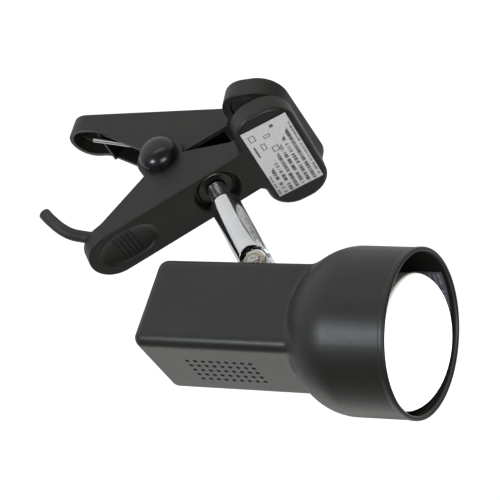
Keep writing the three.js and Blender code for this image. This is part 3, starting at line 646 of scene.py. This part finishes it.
def arm_side(arm):
    """The arm from the side, as (x, z): level face, wings that deepen to a round ear at the pivot."""
    end = arm["bend_x"] + arm["rear"]
    rim_x, rim = arm["rim_x"], arm["rim"]
    ear = arc(0, 0, EAR, 152, 386, 48)
    slope = math.degrees(math.atan2(rim - ear[0][1], ear[0][0] - rim_x))
    run = RIM_FILLET * math.tan(math.radians(slope / 2))
    outline = [(arm["tip"] - 1, arm["face"] + 1), (arm["tip"] - 1, rim)]
    outline += arc(rim_x - run, rim - RIM_FILLET, RIM_FILLET, 90, 90 - slope, 6)
    outline += ear
    outline += [(arm["bend_x"] + 1, arm["jaw_rim"]), (end, arm["jaw_rim"] + 1), (end, arm["face"] + 1)]
    return outline


def jaw_outline(arm):
    front, neck = JAW["front"], JAW["neck"]
    half, rear, left, right, corner = (arm[k] for k in ("half", "rear", "left", "right", "corner"))
    start = rear - neck - 0.5
    return (
        [(start, -half)]
        + arc(rear - neck, -half - neck, neck, 90, 0)
        + arc(rear + corner, corner - right, corner, 180, 270, 16)
        + arc(front - corner, corner - right, corner, -90, 0, 16)
        + arc(front - corner, left - corner, corner, 0, 90, 16)
        + arc(rear + corner, left - corner, corner, 90, 180, 16)
        + arc(rear - neck, half + neck, neck, 0, -90)
        + [(start, half)]
    )


def jaw_head(arm):
    """The wide head in the bend's frame: rounded outside, hollow under its pad, nose relieved."""
    deep, front = JAW["deep"], JAW["front"]
    head = prism(jaw_outline(arm), -deep, 0, 0.8, 2.2, steps=7)
    relief = shift(front - JAW["nose_run"], 0, -deep) @ spin("Y", -JAW["nose_angle"])
    nose = box(0, 20, -50, 50, -12, 0, relief)
    seat = round_rect(PAD["x"], 0, PAD["half_x"] + GAP, PAD["half_y"] + GAP, PAD["corner"])
    hollow = round_rect(PAD["x"], 0, PAD["half_x"] - 2, PAD["half_y"] - 2, PAD["corner"] - 2)
    seat_floor = PAD["thick"] - deep + GAP
    cut(head, nose, prism(seat, -deep - 1, seat_floor), prism(hollow, -deep - 1, -PLATE))
    web = box(PAD["x"] - 9, PAD["x"] + 9, -0.9, 0.9, seat_floor, -1)
    return join(head, web)


def thumb_scoop(face):
    """The cutter for the thumb rest: an oval scoop with a rolled lip, steep sides and a flattish middle."""
    lip, depth = 0.6, THUMB["deep"] - 0.6
    rings = [(1.06, 1.0)]
    rings += [(1.06 - 0.06 * math.sin(a), lip * math.cos(a) - lip) for a in np.radians((0, 22, 45, 68, 90))]
    shares = (0.99, 0.97, 0.94, 0.89, 0.8, 0.65, 0.45, 0.2)
    rings += [(share, -lip - depth * math.sqrt(1 - share**3)) for share in shares]
    verts, loops = [], []
    for share, z in rings:
        ring = oval(THUMB["half_x"] * share, THUMB["half_y"] * share)
        loops.append(list(range(len(verts), len(verts) + len(ring))))
        verts += [(x, y, face + z) for x, y in ring]
    faces = rings_to_faces(list(reversed(loops)))
    faces.append(tuple(reversed(loops[-1])))
    faces.append(tuple(loops[0]))
    return make(verts, faces, shift(THUMB["x"], 0, 0))


def thumb_ribs(face):
    ribs = []
    for i in range(THUMB["ribs"]):
        x = THUMB["x"] + (i - (THUMB["ribs"] - 1) / 2) * THUMB["pitch"] + THUMB["shift"]
        ribs.append(rod(0.75, -8.6, 8.6, shift(x, 0, face - THUMB["deep"] + 0.15) @ ALONG_Y, 20))
    return ribs


def arm_shell(arm):
    face, half = arm["face"], arm["half"]
    shell = prism(arm_outline(arm), face - 50, face, 0, 0.8, steps=4)
    overlap(shell, prism(arm_side(arm), -40, 40, matrix=UPRIGHT))
    channel = prism(arm_outline(arm, WALL), face - 60, face - PLATE, 0, 1.2)
    cut(channel, box(arm["bend_x"] - 1, arm["bend_x"] + 20, -50, 50, -50, face))
    cut(shell, channel)
    head = jaw_head(arm)
    head.data.transform(bend_frame(arm))
    reach = half - WALL / 2
    rib = box(arm["rib_x"] - RIB_HALF, arm["rib_x"] + RIB_HALF, -reach, reach, arm["rib_edge"], face - 1)
    backing = prism(oval(THUMB["half_x"] + 1, THUMB["half_y"] + 1), face - THUMB["deep"] - 1.6, face - 1)
    backing.data.transform(shift(THUMB["x"], 0, 0))
    overlap(backing, prism(arm_outline(arm, 1), 0, face))
    join(shell, head, rib, backing)
    cut(shell, thumb_scoop(face))
    join(shell, *thumb_ribs(face))
    return cut(shell, rod(PIN_HOLE, -30, 30, ALONG_Y))


def stem_arm_shell():
    """The stem arm also carries the stem's seat, two posts for the cord clamp, and a notch for the cord."""
    face, x = STEM_ARM["face"], SEAT["x"]
    radius, deep = SEAT["radius"], SEAT["deep"]
    shell = arm_shell(STEM_ARM)
    boss = rod(SEAT["boss"], face - deep - SEAT["floor"], face - 1, shift(x, 0, 0), 96)
    mouth = [(face - deep, 0), (face - deep, radius - 1.2), (face - deep + 0.4, radius - 0.8)]
    mouth += [(face - 1, radius), (face - 0.5, radius + 0.15), (face, radius + 0.7), (face + 1, radius + 2)]
    mouth.append((face + 1, 0))
    join(shell, boss)
    cut(shell, lathe(mouth, shift(x, 0, 0), segments=128))
    cut(shell, rod(NIPPLE["radius"] + GAP, 0, face, shift(x, 0, 0)))
    cord_way = tube(smooth_path(CORD_PATH, 90), CORD["radius"] + 0.35, sides=32)
    for side in (-1, 1):
        y = CORD["clamp_y"] + side * CORD["reach"]
        join(shell, rod(2.4, 20.4, face - 2.3, shift(CORD["clamp_x"], y, 0)))
        cut(shell, rod(1.3, 20, 25, shift(CORD["clamp_x"], y, 0)))
    return cut(shell, cord_way)


def jaw_pad():
    """A ribbed rubber pad: plain in its middle, grooved towards both ends."""
    deep, thick = JAW["deep"], PAD["thick"]
    outline = round_rect(PAD["x"], 0, PAD["half_x"], PAD["half_y"], PAD["corner"])
    pad = prism(outline, -deep, thick - deep, PAD["edge"], 0.3)
    for k in (-6, -5, -4, -3, 3, 4, 5, 6):
        y = k * PAD["pitch"]
        cut(pad, rod(0.7, 0, 40, shift(0, y, -deep - 0.1) @ ALONG_X, 20))
    return pad


def build_arms():
    for arm, shell, world, body, node in (
        (STEM_ARM, stem_arm_shell(), STEM_ARM_FRAME, "clamp_base", "stem_arm"),
        (PLAIN_ARM, arm_shell(PLAIN_ARM), PLAIN_ARM_FRAME, "swing_arm", "plain_arm"),
    ):
        finish_piece(shell, node + "_moulding", world, body, "satin_plastic", node)
        pad = node + "_pad"
        finish_piece(jaw_pad(), pad + "_ribbed", world @ bend_frame(arm), body, "pad_rubber", pad)


def store(obj, name, values):
    """Keeps one number for each corner of the mesh, for its material to read."""
    attribute = obj.data.attributes.new(name, "FLOAT", "POINT")
    attribute.data.foreach_set("value", np.array(values, np.float32))


def mark_sheet(obj, across, down, half_u, half_v, border=1.6):
    """Stores each corner's place on the sheet in mm, and whether it lies inside the printed field."""
    near = np.minimum(half_u - np.abs(across), half_v - np.abs(down))
    store(obj, "across", across)
    store(obj, "down", down)
    store(obj, "inside", np.clip(near / border, 0, 1))


def sheet_grid(half_u, half_v, place, steps_u=40, steps_v=20):
    """A sheet over a grid of (u, v), each corner put in 3-D by place(u, v, height)."""
    us, vs = np.linspace(-half_u, half_u, steps_u), np.linspace(-half_v, half_v, steps_v)
    verts, flat = [], []
    for height in (0.0, SHEET):
        for v in vs:
            for u in us:
                verts.append(place(u, v, height))
                flat.append((u, v))
    layer = steps_u * steps_v
    faces = []
    for j in range(steps_v - 1):
        for i in range(steps_u - 1):
            a = j * steps_u + i
            quad = (a, a + 1, a + steps_u + 1, a + steps_u)
            faces.append(tuple(reversed(quad)))
            faces.append(tuple(k + layer for k in quad))
    border = list(range(steps_u))
    border += [j * steps_u + steps_u - 1 for j in range(1, steps_v)]
    border += [(steps_v - 1) * steps_u + i for i in range(steps_u - 2, -1, -1)]
    border += [j * steps_u for j in range(steps_v - 2, 0, -1)]
    for a, b in zip(border, border[1:] + border[:1]):
        faces.append((a, b, b + layer, a + layer))
    obj = make(verts, faces)
    flat = np.array(flat)
    mark_sheet(obj, flat[:, 0], flat[:, 1], half_u, half_v)
    return obj


def build_label():
    def place(u, v, height):
        return (LABEL["x"] - v, LABEL["y"] + u, GAP + height)

    sheet = sheet_grid(LABEL["half_y"], LABEL["half_x"], place)
    world = STEM_ARM_FRAME @ bend_frame(STEM_ARM)
    finish_piece(sheet, "rating_label_sheet", world, "clamp_base", "silver_label", "rating_label")


# ---- Pivot, spring and cord ----
def build_pivot():
    for side, node in ((1, "pivot_cap_near"), (-1, "pivot_cap_far")):
        radius, height, skirt = CAP["radius"], CAP["height"], CAP["skirt"]
        base = STEM_ARM["half"] + GAP
        profile = [(0, 0), (0, radius - 0.5), (0.15, radius - 0.15), (0.5, radius), (skirt, radius)]
        for a in np.radians(np.linspace(6, 90, 22)):
            profile.append((skirt + (height - skirt) * math.sin(a), radius * math.cos(a) if a < 1.57 else 0))
        turn = shift(0, side * base, 0) @ spin("X", -90 * side)
        cap = lathe(profile, turn)
        cut(cap, rod(2.8, -18.3, 18.3, ALONG_Y))
        finish_piece(cap, node + "_dome", STEM_ARM_FRAME, "clamp_base", "gloss_caps", node)


def leg_rest(arm):
    """Where a spring leg rests on an arm's cross rib, as (x, z)."""
    return (arm["rib_x"], arm["rib_edge"] - SPRING["wire"] - GAP)


def spring_angles():
    """Where the coil starts and how far it winds, from the two points its legs rest on."""
    start = leg_rest(STEM_ARM)
    x, z = leg_rest(PLAIN_ARM)
    end = spin("Y", -CLOSED_ANGLE) @ Vector((x, 0, -z))
    coil = SPRING["coil"]

    def leg(point):
        return math.sqrt(point[0] ** 2 + point[1] ** 2 - coil**2)

    end = (end.x, end.z)
    first = math.atan2(start[1], start[0]) - math.atan2(leg(start), coil)
    last = math.atan2(end[1], end[0]) + math.atan2(leg(end), coil)
    wound = (first - last) % (2 * math.pi) + SPRING["turns"] * 2 * math.pi
    return first, wound, leg(start) + SPRING["past"], leg(end) + SPRING["past"]


def build_spring():
    first, wound, start_leg, end_leg = spring_angles()
    coil, wire, half = SPRING["coil"], SPRING["wire"], SPRING["half"]

    def on_coil(t):
        a = first - wound * t
        return np.array((coil * math.cos(a), -half + 2 * half * t, coil * math.sin(a)))

    winding = [on_coil(t) for t in np.linspace(0, 1, 300)]
    body = tube(winding, wire, STEM_ARM_FRAME, 16, "spring_coil")
    shade(body, 60)
    body.data.materials.append(SPRING_STEEL)
    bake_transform(body)
    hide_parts("torsion_spring")

    def leg(angle, direction, length, y):
        start = np.array((coil * math.cos(angle), y, coil * math.sin(angle)))
        along = direction * np.array((-math.sin(angle), 0, math.cos(angle)))
        return tube([start + along * s for s in (0, length / 2, length)], wire, sides=20)

    far_leg = leg(first, 1, start_leg, -half)
    near_leg = leg(first - wound, -1, end_leg, half)
    for obj, end, rider in ((far_leg, "far", "clamp_base"), (near_leg, "near", "swing_arm")):
        name = "spring_leg_" + end
        finish_piece(obj, name, STEM_ARM_FRAME, rider, "plated_steel", material=SPRING_STEEL, angle=60)


def build_cord():
    path = smooth_path(CORD_PATH, 140)
    sheath = tube(path, CORD["radius"], sides=40)
    finish_piece(sheath, "cord_sheath", STEM_ARM_FRAME, "clamp_base", "cord_sheath", "power_cord", angle=50)
    tail = path[-1] - path[-2]
    tail /= np.linalg.norm(tail)
    across = np.cross(tail, (0, 1, 0))
    across /= np.linalg.norm(across)
    for side, slot in ((1, "core_brown"), (-1, "core_blue")):
        centre = path[-1] + side * 1.25 * across
        core = tube([centre - tail, centre + 0.3 * tail, centre + 0.6 * tail], 1.1, sides=20)
        finish_piece(core, "cut_" + slot, STEM_ARM_FRAME, "clamp_base", slot)


# ---- Nipple, stem and knuckle ----
def build_nipple():
    radius, bore, thread, pitch = (NIPPLE[k] for k in ("radius", "bore", "thread", "pitch"))
    bottom = -SEAT["deep"] - SEAT["floor"] - 5
    top = STEM["start"] + 7
    low, high = 1.6 - SEAT["deep"], STEM["start"]
    profile = [(bottom, bore), (bottom, radius - thread), (low, radius - thread)]
    for z in np.arange(low, high, pitch):
        profile += [(z + share * pitch, radius - thread * (0.5 + 0.5 * math.cos(2 * math.pi * share)) ** 1.4)
                    for share in (0.2, 0.35, 0.5, 0.65, 0.8, 1.0)]
    profile += [(top, radius - thread), (top, bore)]
    nipple = lathe(profile, segments=72, closed=True)
    seat = STEM_ARM_FRAME @ shift(SEAT["x"], 0, STEM_ARM["face"])
    finish_piece(
        nipple, "nipple_thread", seat, "clamp_base", "plated_steel", "threaded_nipple",
        material=SHADED_THREAD_STEEL, angle=50,
    )
    low, rim = GAP - SEAT["deep"], 9.4
    ring = [(low, radius + GAP), (low, rim - 0.2), (low + 0.2, rim), (low + 0.9, rim), (low + 1.2, rim - 0.4),
            (low + 1.2, radius + 0.5), (low + 1.0, radius + GAP)]
    washer = lathe(ring, segments=96, closed=True)
    finish_piece(washer, "seat_washer_ring", seat, "clamp_base", "dark_steel", "seat_washer")


def build_stem():
    radius, start, length = STEM["radius"], STEM["start"], STEM["length"]
    shoulder = KNUCKLE["shoulder"]
    profile = [(start, 0), (start, radius - 1.5), (start + 0.25, radius - 0.9), (start + 0.9, radius - 0.25),
               (start + 1.8, radius), (length + radius, radius), (length + radius, 0)]
    stem = lathe(profile, segments=160)
    end = box(-20, 20, -20, 20, 0, length)
    join(end, rod(radius, -20, 20, shift(0, 0, length) @ ALONG_Y, 128))
    lap = rod(shoulder, -0.15, 20, shift(0, 0, length) @ ALONG_Y, 128)
    join(lap, box(-20, 20, -0.15, 20, length, 90))
    overlap(stem, end)
    bore_end = length - shoulder - 5
    cut(
        stem,
        lap,
        rod(NIPPLE["radius"] + GAP, start - 1, start + 8),
        rod(radius - STEM["wall"], start + 8 - 0.01, bore_end),
        rod(1.7, bore_end - 1, length - 3.6, shift(0, 3.4, 0), 24),
        rod(KNUCKLE["screw"] + GAP, -20, 20, shift(0, 0, length) @ ALONG_Y, 32),
    )
    finish_piece(stem, "stem_chrome", STEM_FRAME, "swivel_stem", "chrome", "stem_tube", angle=28)


def build_knuckle():
    tongue, flat, above, shaft = (KNUCKLE[k] for k in ("tongue", "flat", "above", "screw"))
    lobe = rod(tongue, 0.15, flat, ALONG_Y, 96)
    join(lobe, box(-tongue, tongue, 0.15, flat, 0, above - 0.5))
    overlap(lobe, rod(STEM["radius"] - 0.2, -20, above - 0.4, segments=128))
    low, high, flange = STEM["radius"] + GAP, above - GAP, KNUCKLE["flange"]
    foot = lathe([(low, 0), (low, flange - 0.3), (low + 0.3, flange), (high, flange), (high, 0)])
    join(lobe, foot, rod(NIPPLE["radius"], above - 1, above + KNUCKLE["spigot"]))
    cut(lobe, rod(3, STEM["radius"] + 1, above + 20), rod(shaft + GAP, -20, 20, ALONG_Y, 32))
    finish_piece(lobe, "knuckle_chrome", HEAD_FRAME, "lamp_head", "chrome", "knuckle_base")

    low, high, bore = flat + 0.1, flat + 0.6, shaft + GAP
    washer = lathe([(low, bore), (low, 5.4), (high, 5.4), (high, bore)], ALONG_Y, closed=True, segments=64)
    finish_piece(washer, "friction_disc", HEAD_FRAME, "lamp_head", "sleeving", "friction_washer")
    base = flat + 0.7
    profile = [(-10.8, 0), (-10.8, shaft), (base, shaft), (base, 3.3), (base + 0.8, 3.3)]
    profile += [(base + 1.3, 2.9), (base + 1.6, 2.1), (base + 1.7, 0)]
    screw = lathe(profile, ALONG_Y, segments=64)
    cut(screw, box(-4, 4, base + 1.0, base + 3, -0.4, 0.4))
    finish_piece(screw, "knuckle_screw_slotted", HEAD_FRAME, "lamp_head", "plated_steel", "knuckle_screw")


# ---- Lamp housing ----
def square_radius(angles, half, corner):
    """The distance from the centre to the edge of a rounded square, at each angle."""
    folded = np.abs((angles + math.pi / 4) % (math.pi / 2) - math.pi / 4)
    flat = half / np.cos(folded)
    inner = half - corner
    along = inner * (np.cos(folded) + np.sin(folded))
    across = inner * (np.sin(folded) - np.cos(folded))
    rounded = along + np.sqrt(np.maximum(corner**2 - across**2, 0))
    on_flat = half * np.tan(folded) <= inner
    return np.where(on_flat, flat, rounded)


def smooth_max(a, b, width):
    """The larger of a and b, with a fillet where they cross."""
    near = np.maximum(width - np.abs(a - b), 0) / width
    return np.maximum(a, b) + near**2 * width / 4


def housing_angles(half, corner):
    """Angles round the housing, closer together on the can's corners."""
    start = math.atan2(half - corner, half)
    quarter = list(np.linspace(-start, start, 22, endpoint=False))
    quarter += list(np.linspace(start, math.pi / 2 - start, 20, endpoint=False))
    return np.concatenate([np.array(quarter) + k * math.pi / 2 for k in range(4)])


def bell_radius(x, inset):
    """The bell's radius at x: an elliptical dome that runs into a straight skirt."""
    dome_x, dome, radius = BELL["dome_x"], BELL["dome"] - inset, BELL["radius"] - inset
    t = np.clip((dome_x - x) / dome, -1, 1)
    dome_part = radius * math.sqrt(max(0.0, 1 - t * t))
    if x > dome_x:
        return radius - 0.3 * (x - dome_x) / (BELL["rim_x"] - dome_x)
    return dome_part


def housing_rings(inset, rear, end, angles):
    """Rings (x, radii) from the closed rear to the mouth, for the outer skin or one drawn in by inset."""
    half = CAN["side"] / 2 - inset
    corner = CAN["corner"] - inset
    rings = []
    for a in np.radians(np.linspace(0, 90, 12)):
        draw_in = corner * (1 - math.sin(a))
        x = rear + corner * (1 - math.cos(a))
        rings.append((x, square_radius(angles, half - draw_in, max(corner - draw_in, 0.05))))
    square = square_radius(angles, half, corner)
    for x in list(np.linspace(rear + corner + 2, 70, 16)) + list(np.linspace(71, end, 96)):
        bell = np.full_like(angles, bell_radius(x, inset))
        rings.append((x, smooth_max(square, bell, BELL["fillet"])))
    return rings


def rim_rings(angles, outer_end, inner_end, tip):
    """The mouth's rolled lip: from the outer skin, over the rounded tip, to the inner skin."""
    radius = BELL["radius"]
    turn = []
    for x, r in ((outer_end + 0.3, radius - 0.2), (outer_end + 0.7, radius), (tip - 1.0, radius + 0.02),
                 (tip - 0.45, radius - 0.12), (tip - 0.12, radius - 0.5), (tip, radius - 1.05),
                 (tip - 0.12, radius - 1.6), (tip - 0.5, radius - 2.0), (tip - 1.1, radius - 2.2),
                 (tip - 1.9, radius - 2.15), (inner_end, radius - 1.85)):
        turn.append((x, np.full_like(angles, r)))
    return turn


def build_housing():
    angles = housing_angles(CAN["side"] / 2, CAN["corner"])
    tip = BELL["rim_x"]
    outer = housing_rings(0.0, 0.0, tip - 3.2, angles)
    inner = housing_rings(CAN["wall"], CAN["wall"], tip - 3.4, angles)
    rings = outer + rim_rings(angles, tip - 3.2, tip - 2.6, tip) + list(reversed(inner))
    verts, loops = [(0, 0, 0)], [[0]]
    for x, radii in rings:
        loops.append(list(range(len(verts), len(verts) + len(angles))))
        verts += [(x, r * math.cos(a), r * math.sin(a)) for a, r in zip(angles, radii)]
    verts.append((CAN["wall"], 0, 0))
    loops.append([len(verts) - 1])
    housing = make(verts, rings_to_faces(loops))
    top = CAN["side"] / 2
    for column in range(VENT["columns"]):
        for row in range(VENT["rows"]):
            x = VENT["first"] + column * VENT["pitch"]
            y = (row - (VENT["rows"] - 1) / 2) * VENT["pitch"] + VENT["offset"]
            cut(housing, rod(VENT["radius"], top - 4, top + 2, shift(x, y, 0), 20))
    cut(housing, rod(NIPPLE["radius"] + GAP, -top - 2, -top + 4, shift(CAN["behind"], 0, 0)))
    finish_piece(housing, "housing_shell", CAN_FRAME, "lamp_head", "black_paint", "lamp_housing", angle=40)

    face = BELL["radius"] - CAN["wall"] - 0.9
    middle = math.radians(270 - STICKER_AT["turn"])

    def place(u, v, height):
        a = middle + u / face
        r = face - height
        return (STICKER_AT["x"] + v, r * math.cos(a), r * math.sin(a))

    sheet = sheet_grid(STICKER_AT["half_arc"], STICKER_AT["half_x"], place)
    finish_piece(
        sheet, "shade_sticker_sheet", CAN_FRAME, "lamp_head", "silver_label", "shade_sticker",
        material=STICKER_PAPER,
    )


# ---- Bulb ----
def build_bulb():
    length, widest = BULB["length"], BULB["glass"]
    neck = smooth_path([(27, 12.9, 0), (33, 14, 0), (42, 15.6, 0), (52, 19, 0), (62, 23.6, 0), (73, 28, 0),
                        (84, 30.9, 0), (92, widest, 0)], 60)[:, :2]
    crown = []
    for a in np.radians(np.linspace(4, 90, 40)[:-1]):
        crown.append((92 + (length - 92) * math.sin(a) ** 1.15, widest * math.cos(a) ** 0.62))
    outline = [tuple(p) for p in neck] + crown + [(length, 0)]
    bulb = lathe(outline, segments=128)
    store(bulb, "along", [v.co.z for v in bulb.data.vertices])
    shell = bulb.modifiers.new("wall", "SOLIDIFY")
    shell.thickness = 1.0
    shell.offset = -1
    bake(bulb)
    bulb.data.transform(ALONG_X)
    finish_piece(bulb, "bulb_envelope", BULB_FRAME, "bulb", "frosted_glass", "bulb_glass", angle=60)

    radius = BULB["cap"]
    profile = [(1.4, 0), (1.4, 4), (3, 6), (4.2, radius - 1.2)]
    pitch, depth = 3.6, 0.4
    for z in np.arange(5.2, 22.5, pitch):
        for share in (0.1, 0.3, 0.5, 0.7, 0.9):
            wave = 1 + math.cos(2 * math.pi * share)
            profile.append((z + pitch * share, radius - depth * wave))
    profile += [(25, radius - 0.2), (26.5, radius - 0.2), (26.5, 0)]
    cap = lathe(profile, ALONG_X, segments=80)
    finish_piece(cap, "bulb_cap_threaded", BULB_FRAME, "bulb", "brass", "bulb_cap", angle=50)


# ---- CAD nodes that stay ----
def dress_cad_nodes():
    slots = {p["node"]: p["material_slot"] for p in frame["record"]["subparts"]}
    for name, obj in frame["nodes"].items():
        if obj.hide_render:
            continue
        obj.data.materials.clear()
        obj.data.materials.append(SLOT_MATERIALS[slots[name]])
        weld = obj.modifiers.new("weld", "WELD")
        weld.merge_threshold = 1e-6
        shade(obj, 34)


# ---- Studio ----
def picture_axes():
    turn = STEM_ARM_FRAME.to_3x3().normalized()
    right = (turn @ Vector(CAMERA_RIGHT)).normalized()
    down = turn @ Vector(CAMERA_DOWN)
    down = (down - right * down.dot(right)).normalized()
    return right, -down, right.cross(down)


def add_camera():
    right, up, forward = picture_axes()
    camera = bpy.data.objects.new("camera", bpy.data.cameras.new("camera"))
    camera.data.lens = CAMERA_LENS
    camera.data.sensor_width = 36
    camera.data.clip_start = 0.01
    rotation = Matrix((right, up, -forward)).transposed().to_4x4()
    camera.matrix_world = Matrix.Translation(STEM_ARM_FRAME @ Vector(CAMERA_AT)) @ rotation
    bpy.context.scene.collection.objects.link(camera)
    bpy.context.scene.camera = camera


def add_light(target, name, direction, distance, size, power, colour):
    """An area light at distance along direction (right, up, towards the camera) from the target."""
    right, up, forward = picture_axes()
    away = (right * direction[0] + up * direction[1] - forward * direction[2]).normalized()
    light = bpy.data.objects.new(name, bpy.data.lights.new(name, "AREA"))
    light.data.shape = "RECTANGLE"
    light.data.size, light.data.size_y = size
    light.data.energy = power
    light.data.color = colour
    light.location = target + away * distance
    light.rotation_euler = away.to_track_quat("Z", "Y").to_euler()
    bpy.context.scene.collection.objects.link(light)


def floor_material():
    n = Nodes("pale_floor")
    n.put(base_color=n.mix(n.ramp(n.noise(3, 3.0), 0, 1), (0.90, 0.90, 0.90), (0.93, 0.93, 0.93)))
    n.put(roughness=0.9, specular_ior_level=0.2)
    seen = n.add("ShaderNodeLightPath").outputs["Is Camera Ray"]
    n.put(emission_color=(1, 1, 1, 1), emission_strength=n.math("MULTIPLY_ADD", seen, 0.6, 0.2))
    return n.material


def build_world():
    """A studio that is bright beyond the object and dim behind the camera, so that black parts stay black."""
    world = bpy.data.worlds.new("studio")
    world.use_nodes = True
    tree = world.node_tree
    background = tree.nodes["Background"]
    direction = tree.nodes.new("ShaderNodeTexCoord").outputs["Generated"]
    away = tree.nodes.new("ShaderNodeVectorMath")
    away.operation = "DOT_PRODUCT"
    tree.links.new(direction, away.inputs[0])
    forward = picture_axes()[2]
    away.inputs[1].default_value = forward
    fade = tree.nodes.new("ShaderNodeMapRange")
    fade.interpolation_type = "SMOOTHSTEP"
    for key, value in zip(("From Min", "From Max", "To Min", "To Max"), WORLD_FADE):
        fade.inputs[key].default_value = value
    tree.links.new(away.outputs["Value"], fade.inputs["Value"])
    tree.links.new(fade.outputs["Result"], background.inputs["Strength"])
    background.inputs["Color"].default_value = (1, 1, 1, 1)
    bpy.context.scene.world = world


def build_studio():
    low, high = (Vector(v) for v in cad_box)
    centre = (low + high) / 2
    floor = make([(-6, -6, 0), (6, -6, 0), (6, 6, 0), (-6, 6, 0)], [(0, 1, 2, 3)], name="floor")
    floor.location = (centre.x, centre.y, low.z - FLOOR_DROP)
    floor.data.materials.append(floor_material())
    for light in LIGHTS:
        add_light(centre, *light)
    build_world()
    bpy.context.scene.view_settings.view_transform = "Standard"


build_arms()
build_label()
build_pivot()
build_spring()
build_cord()
build_nipple()
build_stem()
build_knuckle()
build_housing()
build_bulb()
dress_cad_nodes()
build_studio()
add_camera()
